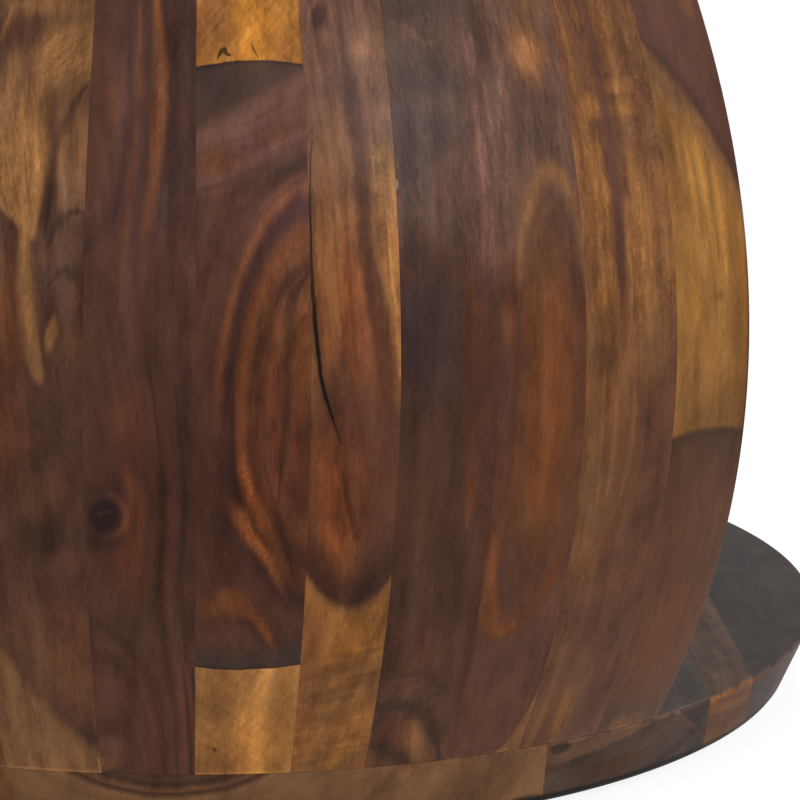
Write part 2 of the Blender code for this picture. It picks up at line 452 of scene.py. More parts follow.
def board_group(build):
    """The node group of one of the builders above, made the first time that it is asked for."""
    group = bpy.data.node_groups.get(build.__name__)
    if group:
        return group
    group = bpy.data.node_groups.new(build.__name__, "ShaderNodeTree")
    labels = list(inspect.signature(build).parameters)[1:]
    for label in labels:
        kind = "NodeSocketColor" if label in COLOUR_INPUTS else "NodeSocketFloat"
        group.interface.new_socket(label, in_out="INPUT", socket_type=kind)
    for label in GROUP_OUTPUTS.get(build, ("value",)):
        kind = "NodeSocketColor" if label == "colour" else "NodeSocketFloat"
        group.interface.new_socket(label, in_out="OUTPUT", socket_type=kind)
    start = group.nodes.new("NodeGroupInput")
    end = group.nodes.new("NodeGroupOutput")
    results = build(group, *(Field(group, start.outputs[label]) for label in labels))
    for slot, value in zip(end.inputs, results):
        feed(group, slot, value)
    return group


def placed(tree, build, *values):
    """Put a board group into a tree, fed with values, and return its outputs as fields."""
    node = tree.nodes.new("ShaderNodeGroup")
    node.node_tree = board_group(build)
    for slot, value in zip(node.inputs, values):
        feed(tree, slot, value)
    return [Field(tree, out) for out in node.outputs]


# Boards

PORE_TINT = (0.70, 0.68, 0.68)
PLAIN_GRIT = 0.1
TIMBER_GRIT = {"golden": 0.28, "honey": 0.34, "tan": 0.32, "rose": 0.22, "amber": 0.18}
INNER_DRIFT = 0.8       # how far the figure drifts sideways for each step of depth
BUMP_DEPTH = 0.00012
BUMP_STRENGTH = 0.35
LACQUER = (0.09, 0.36)  # specular level and roughness of the rubbed lacquer
WORN_LACQUER = (0.07, 0.52)
BARE = (0.04, 0.85)


class Board:
    """The figure of one board, drawn on its face: across and along in millimetres."""

    def __init__(self, name, seed):
        self.material = bpy.data.materials.new(name)
        self.material.use_nodes = True
        self.tree = self.material.node_tree
        self.seed = seed
        self.colour = (0.0, 0.0, 0.0, 1.0)
        place = self.tree.nodes.new("ShaderNodeTexCoord").outputs["Object"]
        split = self.tree.nodes.new("ShaderNodeSeparateXYZ")
        self.tree.links.new(place, split.inputs[0])
        self.x, self.y, self.z = (Field(self.tree, out) * MILLIMETRES for out in split.outputs)

    def lay_out(self, across, along, depth, wander=3.0, ruffle=1.1):
        """Settle the board's own directions and let its grain wander."""
        self.depth = depth
        self.across = across
        fields = placed(self.tree, wandering_grain, across, along, depth, self.seed, wander, ruffle)
        self.u, self.v, self.p, self.q, self.crisp, self.fibre, self.blotch, self.grit, self.pores = fields
        self.mottle = (self.grit * 0.7 + self.blotch).smooth(-0.18, 0.20)
        self.speckle = (self.grit + self.fibre * 0.5).smooth(-0.10, 0.16)
        self.ragged = self.blotch.scaled(1.8, 1.0) + self.fibre * 0.5

    # Where things lie

    def lines(self, lean=0.0, bow=0.0, at=0.0):
        """Straight grain, leaning by so much across for each step along, and bowed."""
        along = self.v - at
        return self.u - along.scaled(bow, lean) * along

    def ovals(self, at, aspect):
        """Cathedral grain: ovals about a point, longer than they are wide."""
        return placed(self.tree, cathedral, self.p, self.q, at[0], at[1], aspect)[0]

    def oval(self, at, size, tilt=0.0, soft=0.35):
        """Patch in the form of an oval."""
        turn = math.radians(tilt)
        return placed(self.tree, oval_patch, self.p, self.q, at[0], at[1], size[0], size[1],
                      math.cos(turn), math.sin(turn), 1.0 - soft, 1.0 + soft)[0]

    def trace(self, points, width, soft=0.6):
        """A band with soft borders along a curve through points, thinner towards its ends."""
        path = rounded(points)
        last = len(path) - 1
        halves = [width / 2 * (0.12 + 0.88 * math.sin(math.pi * count / last)) for count in range(last + 1)]
        nearest = None
        for (u, v), (to_u, to_v), half, to_half in zip(path, path[1:], halves, halves[1:]):
            run_u, run_v = to_u - u, to_v - v
            length = run_u * run_u + run_v * run_v
            away = placed(self.tree, off_segment, self.p, self.q, u, v, run_u, run_v, length, half,
                          to_half - half)[0]
            nearest = away if nearest is None else nearest.step("MINIMUM", away)
        return (nearest * self.ragged).smooth(1.0 - soft, 1.0 + soft, 1.0, 0.0)

    def rise(self, points, crisp=False):
        """Distance over a curve that crosses the board through three points."""
        u, v = (self.across, self.crisp) if crisp else (self.p, self.q)
        return placed(self.tree, over_curve, u, v, *through_points(points))[0]

    def above(self, points, soft=3.0, crisp=False):
        """Everything over a curve that crosses the board."""
        return self.rise(points, crisp).smooth(-soft, soft)

    def below(self, points, soft=3.0, crisp=False):
        """Everything under a curve that crosses the board."""
        return self.rise(points, crisp).smooth(-soft, soft, 1.0, 0.0)

    def verge(self, points, width, crisp=False):
        """A band along a curve that crosses the board."""
        return abs(self.rise(points, crisp)).smooth(width * 0.2, width * 0.8, 1.0, 0.0)

    def beside(self, points):
        """Distance to the right of a curve along the board through three points."""
        turned = [(along, across) for across, along in points]
        return placed(self.tree, over_curve, self.q, self.p, *through_points(turned))[0]

    def right_of(self, points, soft=3.0):
        """Everything to the right of a curve along the board."""
        return self.beside(points).smooth(-soft, soft)

    def left_of(self, points, soft=3.0):
        """Everything to the left of a curve along the board."""
        return self.beside(points).smooth(-soft, soft, 1.0, 0.0)

    def ring(self, grain, at, width, soft=0.6):
        """One growth ring of a grain, at its place and with its width."""
        away = abs(grain + self.blotch * 3.0 - at)
        return away.smooth(width / 2 * (1 - soft), width / 2 * (1 + soft), 1.0, 0.0)

    # What is drawn there

    def lay(self, timber, mask=1.0, pitch=8.0, contrast=1.0, grain=None):
        """Lay a timber with its grain over the board, or only where a mask says."""
        middle = (*getattr(bpy.context.scene.table_timbers, timber), 1.0)
        self.colour = placed(
            self.tree, laid_timber, self.colour, middle, mask, grain or self.grain, self.v, pitch, contrast,
            self.seed, self.fibre, self.blotch, self.grit, TIMBER_GRIT.get(timber, PLAIN_GRIT))[0]

    def patch(self, timber, at, size, share=1.0, tilt=0.0, soft=0.7, pitch=5.0, contrast=1.0):
        """Lay a timber in an oval."""
        self.lay(timber, self.oval(at, size, tilt, soft) * share, pitch, contrast)

    def streak(self, timber, points, width, share=1.0, soft=0.9, pitch=4.0, contrast=1.0):
        """Lay a timber along a curve."""
        self.lay(timber, self.trace(points, width, soft) * share, pitch, contrast)

    def spot(self, factor, at, size, share=1.0, tilt=0.0, soft=0.7):
        """Darken or lighten in an oval."""
        self.tint(self.oval(at, size, tilt, soft) * share, factor)

    def line(self, factor, points, width, share=1.0, soft=0.9):
        """Darken or lighten along a curve."""
        self.tint(self.trace(points, width, soft) * share, factor)

    def clouds(self, *spots):
        """Broad soft light and dark over the board, each with its factor, place and size."""
        for factor, at, size in spots:
            self.spot(factor, at, size, 0.9)

    def tint(self, mask, factor):
        """Darken or lighten where a mask says, by one factor or by one for each colour."""
        if isinstance(factor, (int, float)):
            factor = (factor, factor, factor)
        self.colour = mixed(self.tree, "MULTIPLY", mask, self.colour, (*factor, 1.0))

    def strokes(self, mask, tilt, strength, size=1.5):
        """Slanting strokes of curly grain that catch the light."""
        turn = math.radians(tilt)
        cosine, sine = math.cos(turn) / size, math.sin(turn) / size
        first = self.p * cosine + self.q * sine
        second = (self.q * cosine - self.p * sine) / 6.0
        wisp = noise(self.tree, combined(self.tree, first, second, self.seed), 3.0, 0.6)
        self.tint(mask * wisp.smooth(0.0, 0.2), 1.0 + strength)
        self.tint(mask * wisp.smooth(-0.2, 0.0, 1.0, 0.0), 1.0 - strength * 0.7)

    def rubbed_foot(self, factor, share=1.0):
        """A thin pale line where the foot's sharp edge is rubbed."""
        self.tint(self.crisp.smooth(-165.8, -164.6, 1.0, 0.0) * share, factor)

    def finish(self, gloss, roughness):
        """Close the figure with pores and a finish."""
        tree = self.tree
        self.tint(self.pores * 0.4, PORE_TINT)
        shader = tree.nodes["Principled BSDF"]
        feed(tree, shader.inputs["Base Color"], self.colour)
        feed(tree, shader.inputs["Roughness"], self.fibre.scaled(0.22, roughness))
        shader.inputs["Specular IOR Level"].default_value = gloss
        bump = tree.nodes.new("ShaderNodeBump")
        bump.inputs["Strength"].default_value = BUMP_STRENGTH
        bump.inputs["Distance"].default_value = BUMP_DEPTH
        feed(tree, bump.inputs["Height"], self.fibre - self.pores * 0.6 + self.blotch)
        tree.links.new(bump.outputs["Normal"], shader.inputs["Normal"])
        return self.material


# Figures of the staves, in millimetres from the middle of the face

def sapwood_tongue(board):
    """Mottled sapwood at the shoulder, a tongue of it down into brown heartwood, and more at the foot."""
    board.grain = board.lines(lean=-0.06)
    board.lay("umber", pitch=9.0, contrast=1.1)
    board.patch("russet", (-9, 34), (9, 30), 0.8, pitch=6.0)
    board.patch("amber", (-8, 30), (6, 22), 0.7)
    board.patch("tan", (-15, 44), (5, 22), 0.6)
    board.patch("tan", (16, 92), (9, 23), 0.95, soft=0.5, contrast=1.1)
    board.spot((1.1, 1.1, 1.2), (16, 92), (9, 23))
    board.patch("tan", (14, 60), (9, 10), 0.4)
    board.lay("tan", board.above([(-23, 102), (4, 106), (23, 120)], 6.0) * 0.52, pitch=5.0, contrast=1.2)
    tongue = board.left_of([(6.5, 112), (6.5, 88), (2.5, 60)], 1.6)
    tongue = tongue * board.above([(-23, 80), (-8, 71), (4, 60)], 2.2)
    under = board.below([(-23, 128), (0, 120), (23, 116)], 12.0)
    board.lay("honey", tongue * under * 0.8, pitch=4.0, contrast=1.1)
    board.tint(board.above([(-23, 104), (4, 108), (23, 112)], 10.0), (0.90, 0.87, 0.86))
    board.strokes(tongue, 14, 0.26, 0.9)
    board.strokes(tongue, -8, 0.20, 1.3)
    for points in (
        [(-17, 104), (-13, 88), (-7, 70)], [(-11, 104), (-7, 88), (-2, 68)], [(-4, 100), (-1, 84), (1, 70)],
    ):
        board.line(0.58, points, 1.1, 0.7)
    glow = board.oval((11, 131), (11, 12), -30, 0.6)
    board.lay("honey", glow * 0.5, pitch=5.0, contrast=1.2)
    board.strokes(glow, -44, 0.34, 1.1)
    board.strokes(glow, -62, 0.24, 1.6)
    board.patch("honey", (2, 150), (13, 4), 0.5)
    board.patch("honey", (-9, 127), (2.6, 8), 0.6)
    board.streak("honey", [(-11, 151), (-15, 138), (-19, 126)], 1.8, 0.7)
    board.spot((0.52, 0.46, 0.48), (-7, 139), (10, 6.5), 0.9, 12)
    board.spot((0.60, 0.55, 0.56), (-16, 128), (5, 9), 0.7)
    board.spot(0.62, (4, 110), (4.5, 7), 0.8, 10)
    board.spot((0.52, 0.45, 0.48), (7.5, 88), (3.4, 26), 0.8, 2)
    board.line(0.52, [(21, 121), (18, 117), (14, 109), (10.5, 100), (9, 88), (8.5, 76), (7, 62)], 3.6)
    board.line(0.52, [(7, 58), (9, 61), (11, 66), (15, 71), (19, 73), (25, 71)], 3.2, 0.9)
    board.line(0.56, [(9, 44), (13.5, 50), (18, 50), (23, 41)], 3.6, 0.8)
    board.line(0.64, [(8, 60), (10, 45), (12.5, 20), (14, 4)], 2.6, 0.6)
    board.line(0.60, [(-9, 66), (-6, 48), (-3, 30)], 2.6, 0.6)
    tip = board.above([(-23, 2), (0, 6), (23, 10)], 3.0)
    spill = [(-6, 96), (-1, 65), (0.4, 46), (1.3, 35), (2.8, 22), (4.8, 12), (7, 3), (12, -16)]
    board.streak("tan", spill, 7.0, tip * 0.8, 0.8)
    board.streak("honey", spill[:5], 5.0, board.mottle.scaled(0.35, 0.25), 1.0)
    board.line(0.62, [(2, 56), (4, 40), (7, 22), (9, 6)], 1.8, 0.7)
    board.patch("honey", (10.9, 26), (2.2, 6.5), 0.65, -10, 0.5)
    board.patch("tan", (18.0, 42), (4.0, 6), 0.3)
    board.patch("tan", (17, 22), (5, 10), 0.35)
    board.patch("russet", (12, -30), (9, 10), 0.5, 20)
    board.patch("rose", (14, -67), (8, 6), 0.4, 35)
    board.patch("russet", (-6, -70), (8, 20), 0.6)
    board.patch("tan", (4, -38), (9, 12), 0.25)
    board.patch("tan", (2, -112), (18, 26), 0.35, 20)
    board.patch("russet", (10, -96), (9, 12), 0.5)
    board.spot(0.60, (5, -58), (8, 8), 0.7)
    board.spot(0.62, (16, -17), (9, 4), 0.5, 25)
    board.patch("russet", (-14, -74), (6, 14), 0.7)
    board.patch("russet", (0, -18), (7, 6), 0.6, 10)
    board.spot((0.88, 0.85, 0.86), (10, -46), (14, 34), 0.8)
    board.patch("amber", (-9, -14), (8, 22), 0.5)
    board.line(0.72, [(-14, -98), (-10, -106), (0, -124), (8, -137), (16, -146), (26, -152)], 9.0, 0.4)
    foot = board.below([(-10, -117), (3, -138), (18, -153)], 6.5)
    board.lay("tan", foot * 0.9, pitch=8.0, contrast=1.0)
    board.tint(foot, (1.04, 1.10, 1.16))
    board.lay("honey", board.below([(-23, -146), (0, -151), (23, -158)], 6.0) * 0.35, pitch=4.0)
    board.line(2.0, [(20.4, -130), (20.2, -150), (19.6, -170)], 1.2, board.mottle)
    board.spot((1.22, 1.22, 1.26), (16, 48), (9, 18), 0.8)
    board.spot((1.25, 1.26, 1.20), (13, -134), (8, 11), 0.8)
    board.clouds(
        ((1.30, 1.38, 1.60), (-17, 34), (9, 42)), ((1.26, 1.26, 1.26), (0, -4), (8, 18)),
        ((1.30, 1.24, 1.15), (-17, -62), (9, 42)), ((1.44, 1.32, 1.14), (15, -110), (9, 36)),
        ((0.78, 0.80, 1.0), (-17, 116), (10, 17)), ((1.25, 1.22, 1.20), (-17, 148), (9, 8)),
        ((0.95, 1.04, 1.30), (15, 62), (9, 26)),
    )
    board.rubbed_foot(1.5)


def striped_heart(board):
    """Red and dark stripes with one orange stripe and a knot near the left seam."""
    bulge = board.oval((-16, -47), (26, 46), 0, 0.9) * 13.0
    swell = board.oval((-24, -156), (26, 42), 0, 0.9) * 12.0
    board.grain = board.lines(bow=-0.00018) - bulge - swell
    board.lay("russet", pitch=9.0, contrast=0.9)
    board.tint(1.0, (0.86, 0.90, 1.00))
    board.patch("rose", (-14, 125), (9, 34), 0.4, 8)
    board.spot((0.86, 0.85, 0.86), (0, -18), (24, 56), 0.9)
    board.patch("amber", (-14, 128), (3, 24), 0.4, 6)
    board.patch("amber", (-19, 96), (2.5, 16), 0.3, -8)
    board.line((0.66, 0.66, 0.80), [(0, 112), (-3, 98), (-9, 80), (-16, 66), (-23, 56)], 11.0, 0.75)
    board.lay("slate", board.right_of([(10, 160), (11, 110), (8, 60)], 3.0) *
              board.above([(-22, 62), (0, 62), (22, 62)], 20.0) * 0.12)
    board.line((1.3, 1.2, 1.25), [(16, 156), (17, 120), (16, 84), (14, 40)], 3.0, 0.8)
    board.line(0.82, [(12, 150), (13, 120), (12, 90), (10, 40)], 2.2, 0.7)
    stripe = [
        (3.4, 172), (4.2, 150), (5.8, 132), (6.8, 116), (6.0, 100), (4.6, 84), (3.0, 66), (1.4, 48), (-1, 26),
        (-4, 4),
    ]
    board.line(0.70, [(across + 3.6, along) for across, along in stripe[:7]], 3.2, 0.8)
    board.line(0.68, [(across - 3.4, along) for across, along in stripe[:7]], 2.8, 0.7)
    fading = board.above([(-22, 58), (0, 58), (22, 58)], 36.0)
    board.streak("amber", stripe, 5.6, fading * 0.6, 1.0, contrast=1.1)
    bright = board.above([(-22, 84), (0, 84), (22, 84)], 16.0)
    board.streak("amber", stripe[:8], 4.4, bright * 0.8, contrast=1.1)
    board.line((1.4, 1.45, 1.6), stripe[:8], 3.2, bright * board.mottle.scaled(0.5, 0.3))
    board.streak("amber", [(-2.4, 156), (-1.4, 118), (-3, 94), (-5, 70), (-8, 30)], 4.0, fading * 0.5, 1.0)
    board.line(0.70, [(-5.4, 140), (-5, 112), (-7, 90), (-10, 70)], 4.0, 0.6)
    board.patch("amber", (-4, -8), (7, 14), 0.3)
    board.spot((0.74, 0.72, 0.74), (-6, -28), (11, 13), 0.8)
    board.patch("amber", (-4, -70), (6, 14), 0.4, 6)
    board.patch("russet", (-14, -20), (5, 12), 0.6)
    board.spot((0.74, 0.62, 0.64), (15, -34), (6, 36), 0.7)
    board.spot((0.96, 1.06, 0.92), (2, -98), (20, 16), 0.7)
    away = board.ovals((-14, -46.5), 1.05)
    board.tint(away.smooth(9.0, 19.0, 1.0, 0.0) * 0.7, (0.68, 0.66, 0.70))
    board.spot((0.66, 0.64, 0.68), (-15, -57), (8, 5), 0.8)
    past = board.below([(-22, -24), (0, -26), (22, -28)], 9.0)
    past = past * board.above([(-22, -68), (0, -70), (22, -72)], 9.0)
    board.streak("amber", [(-14, -2), (-4, -30), (-1, -46), (-3, -62), (-9, -88)], 8.0, past * 0.5, 1.0)
    board.tint(board.ring(away, 8.8, 2.4, 0.9) * board.right_of([(-15, -30), (-11, -46), (-15, -62)], 4.0),
               (1.8, 1.7, 1.55))
    board.tint(away.smooth(4.6, 7.8, 1.0, 0.0), (0.42, 0.44, 0.52))
    board.line((2.4, 2.5, 2.6), [(-19, -46.2), (-14, -45.2), (-9.5, -44.6)], 0.9, 0.8, 0.6)
    board.line(0.62, [(4, 14), (9.5, -36), (7, -76), (9.6, -110), (12, -140), (12, -180)], 3.2, 0.8)
    board.line((1.35, 1.2, 1.15), [(9, 0), (13, -36), (11, -76), (13, -112)], 3.0, 0.7)
    board.line((0.66, 0.58, 0.60), [(14, 8), (17.5, -36), (16, -76), (17, -112)], 3.0, 0.7)
    for factor, points, width in (
        (0.66, [(-24, -88), (-11.7, -98.5), (-3.2, -107.5), (3.3, -125), (6.5, -141), (7, -180)], 4.6),
        (0.72, [(-28, -107), (-18, -108), (-9.5, -111.7), (-2.7, -123), (0.3, -138), (1, -180)], 5.4),
        ((1.24, 1.15, 1.08),
         [(-26, -98), (-11, -104.5), (-2.6, -114), (1.6, -130), (3.8, -150), (4, -180)], 3.6),
        ((1.18, 1.12, 1.05), [(-26, -120), (-14, -120), (-7, -128), (-4.6, -142), (-4, -180)], 4.6),
    ):
        board.line(factor, points, width, board.mottle.scaled(0.4, 0.5))
    for place in (15.5, 19.0):
        board.line((1.35, 1.16, 1.10), [(place - 2, -112), (place, -140), (place, -168)], 2.4)
        board.line(0.62, [(place + 0.2, -112), (place + 2.2, -140), (place + 2.2, -168)], 2.2)
    board.spot(0.58, (-14.7, -143), (5, 6), 0.7)
    board.patch("rose", (-15, -154), (6, 5), 0.6)
    board.patch("tan", (-17, -161), (5, 3), 0.7)
    board.spot((1.26, 1.22, 1.12), (19, 40), (5, 26), 0.8)
    board.spot((1.24, 1.18, 1.14), (7, -158), (9, 9), 0.8)
    board.clouds(
        ((1.28, 1.36, 1.56), (15, 80), (8, 56)), ((1.0, 1.1, 1.34), (0, 104), (9, 44)),
        ((0.80, 0.86, 1.0), (-15, 146), (9, 20)), ((0.93, 0.83, 0.80), (2, -34), (14, 40)),
        ((0.86, 0.84, 0.84), (-15, -62), (7, 20)), ((1.24, 1.16, 1.06), (0, -140), (30, 34)),
    )


def heart_between_sap(board):
    """Dark oval heartwood with orange flames, between two golden blocks with sharp borders."""
    oval = board.grain = board.ovals((26, -5), 2.25)
    board.lay("russet", pitch=7.0, contrast=1.0)
    board.lay("amber", oval.smooth(32.0, 36.0, 1.0, 0.0) * 0.8, pitch=6.0, contrast=1.2)
    upper = board.above([(-23, -6), (0, -6), (23, -6)], 14.0)
    lower = board.below([(-23, 34), (0, 24), (23, 14)], 16.0)
    board.lay("amber", board.ring(oval, 39.6, 3.4, 0.9) * upper * 0.7, pitch=4.0)
    board.tint(board.ring(oval, 39.6, 3.0, 0.9) * upper * board.mottle.scaled(0.5, 0.3), (1.3, 1.32, 1.4))
    board.tint(board.ring(oval, 44.6, 6.0, 0.9) * upper * 0.4, (0.80, 0.80, 0.88))
    board.spot((1.10, 1.22, 1.45), (17, 58), (9, 34), 0.9)
    board.tint(board.ring(oval, 35.6, 7.0, 0.9) * 0.8, (0.64, 0.60, 0.74))
    board.lay("amber", board.ring(oval, 31.2, 4.4, 0.9) * 0.5, pitch=4.0, contrast=1.1)
    board.tint(board.ring(oval, 31.0, 3.6, 0.9) * 0.6, (1.16, 1.12, 1.12))
    board.tint(board.ring(oval, 27.2, 3.0, 0.9) * lower, 0.76)
    dark_ring = [(22, 51), (17.5, 44.5), (15, 37.5), (14, 28), (13.3, 6), (12, -18), (10, -42)]
    board.line((0.54, 0.58, 0.66), dark_ring, 4.4, 0.9)
    board.streak("amber", [(21, 38), (18.5, 30), (18, 18), (18.5, 2), (18, -18)], 7.0, 0.9, contrast=1.2)
    board.line((1.25, 1.25, 1.2), [(21, 40), (19, 30), (18.5, 18), (19, 6)], 5.0, 0.7)
    board.spot((0.70, 0.60, 0.62), (20, -26), (5, 26), 0.8)
    board.line(0.72, [(13, 48), (6, 32), (3, 20), (2, 4), (1, -18)], 3.2, 0.8)
    board.line((1.18, 1.12, 1.06), [(13, 42), (9, 30), (7.6, 18), (7.4, 2), (8, -26)], 4.0, 0.8)
    slope = board.v - board.u * 0.42
    shoulder = board.above([(-23, 80), (0, 88), (23, 100)], 5.0)
    board.lay("rose", shoulder * 0.95, pitch=9.0, contrast=1.0, grain=slope)
    board.tint(shoulder, (1.04, 1.00, 1.06))
    board.patch("amber", (-13, 92), (9, 5), 0.6, 12)
    board.patch("amber", (10, 103), (6, 3.5), 0.5, 22)
    board.line(0.62, [(-23, 81), (-13, 84), (-3, 87), (7, 93), (15, 98), (23, 101)], 4.6, 0.5)
    board.line((1.35, 1.32, 1.40), [(0, 71), (8, 80), (16, 86), (23, 90)], 2.6, 0.7)
    board.line(0.74, [(-6, 72), (2, 80), (12, 88), (23, 95)], 3.6, 0.5)
    board.spot((1.22, 1.2, 1.2), (12, 74), (9, 14), 0.8, -30)
    board.spot((0.54, 0.48, 0.50), (-2, -56), (14, 38), 0.7, 22)
    board.spot((0.72, 0.62, 0.64), (-16, -64), (8, 34), 0.7)
    board.spot((0.56, 0.58, 0.62), (18, -66), (6, 26), 0.8, 8)
    board.line(0.54, [(4, -24), (7.5, -38), (11, -50), (14, -62), (18, -76)], 3.0, 0.7)
    for at, size, tilt, share in (
        ((-2.6, -30.5), (2.2, 11), 14, 1.0), ((3.0, -45), (2.6, 11), 28, 0.85),
        ((-2.4, -50.5), (3.4, 9), 24, 0.95), ((3.0, -60), (2.4, 9), 32, 0.75),
        ((9.4, -72), (1.5, 9), 26, 0.6), ((0.6, -89), (2.6, 6), 48, 0.55), ((6.6, -98), (1.8, 9), 28, 0.65),
    ):
        flame = board.oval(at, size, tilt, 0.75) * share
        board.lay("amber", flame * 0.9, pitch=4.0, contrast=1.3)
        board.tint(flame * board.speckle.scaled(0.6, 0.4), (1.8, 1.66, 1.15))
    between = [(-8, 4), (-8, -16), (-6.6, -32), (-2.8, -43), (2.2, -53), (7, -61)]
    board.line((0.52, 0.50, 0.54), between, 3.6, 0.8)
    board.patch("amber", (-10.2, -84.7), (9, 6), 0.8, 10)
    board.spot((1.35, 1.35, 1.25), (-8, -84), (6, 5), board.mottle.scaled(0.5, 0.3), 10)
    top = [(-21, 127.6), (0, 130.2), (21, 128.6)]
    foot = [(-21, -113.0), (0, -114.6), (21, -112.8)]
    board.lay("slate", board.above([(-23, 103), (0, 114), (23, 126)], 5.5) * 0.85, pitch=9.0, contrast=0.6)
    board.spot((1.35, 1.3, 1.25), (10, 127), (14, 6), 0.8, 8)
    board.lay("slate", board.below([(-23, -102), (0, -106), (23, -100)], 5.0) * 0.8, contrast=0.6)
    board.tint(board.verge(top, 2.2, crisp=True) * 0.8, 0.55)
    board.tint(board.verge(foot, 2.2, crisp=True) * 0.7, 0.55)
    board.grain = board.lines(lean=0.02)
    over, under = board.above(top, 0.35, crisp=True), board.below(foot, 0.35, crisp=True)
    board.lay("golden", over, pitch=12.0, contrast=1.0)
    board.lay("honey", under, pitch=12.0, contrast=1.0)
    board.strokes(over, -40, 0.22, 1.6)
    board.strokes(over, 30, 0.18, 2.2)
    board.tint(over, (0.94, 0.95, 1.10))
    board.strokes(under, -30, 0.14, 2.0)
    board.strokes(under, 50, 0.14, 2.4)
    board.tint(under, (0.92, 0.90, 0.84))
    board.spot((1.34, 1.28, 1.12), (2, -148), (8, 20), 0.8, -6)
    board.line((1.35, 1.35, 1.3), [(-2, -142), (1, -134), (5, -124), (9, -114), (12, -106)], 6.0, 0.8)
    board.spot((0.70, 0.68, 0.72), (-13, -130), (8, 14), 0.6)
    board.spot((0.72, 0.68, 0.64), (15, -146), (6, 20), 0.6)
    board.spot((0.78, 0.74, 0.72), (-8, -158), (9, 6), 0.6)
    board.spot((1.40, 1.32, 0.95), (2, 143), (8, 13), 0.8)
    board.spot((1.3, 1.3, 1.1), (-2, 133), (5, 4), 0.6)
    board.spot((0.60, 0.58, 0.74), (-15, 141), (10, 17), 0.8)
    board.spot((0.70, 0.64, 0.68), (16, 136), (7, 8), 0.6)
    board.tint(board.right_of([(19.5, 160), (19.5, 145), (20, 125)], 0.8) * over, 0.55)
    board.line(0.16, [(-12.4, 131), (-11, 133.4), (-10, 134), (-9, 132.6), (-7.4, 131.4)], 2.2, 1.0, 0.5)
    board.line(0.30, [(0.6, 137), (2, 133.6), (3.6, 131)], 0.8, 1.0, 0.7)
    board.line(0.40, [(-9, 147), (-12, 143), (-15, 140)], 0.6, 0.7)
    board.line(0.30, [(-12.6, -152.4), (-11.8, -154.8)], 2.0, 1.0, 0.6)
    board.spot((0.72, 0.68, 0.76), (-22, -26), (4.5, 34), 0.9)
    board.spot((0.68, 0.76, 0.92), (22.5, -20), (4.5, 22), 0.9)
    board.spot((0.80, 0.90, 1.05), (-21.5, 80), (4.5, 20), 0.8)
    board.clouds(
        ((1.12, 1.20, 1.44), (8, 72), (22, 36)), ((0.86, 0.79, 0.92), (9, -22), (18, 36)),
        ((0.78, 0.72, 0.95), (-16, 148), (8, 12)), ((1.05, 1.10, 1.20), (16, -72), (8, 16)),
        ((1.18, 1.14, 1.0), (4, -156), (18, 14)),
    )
    board.rubbed_foot(1.25)


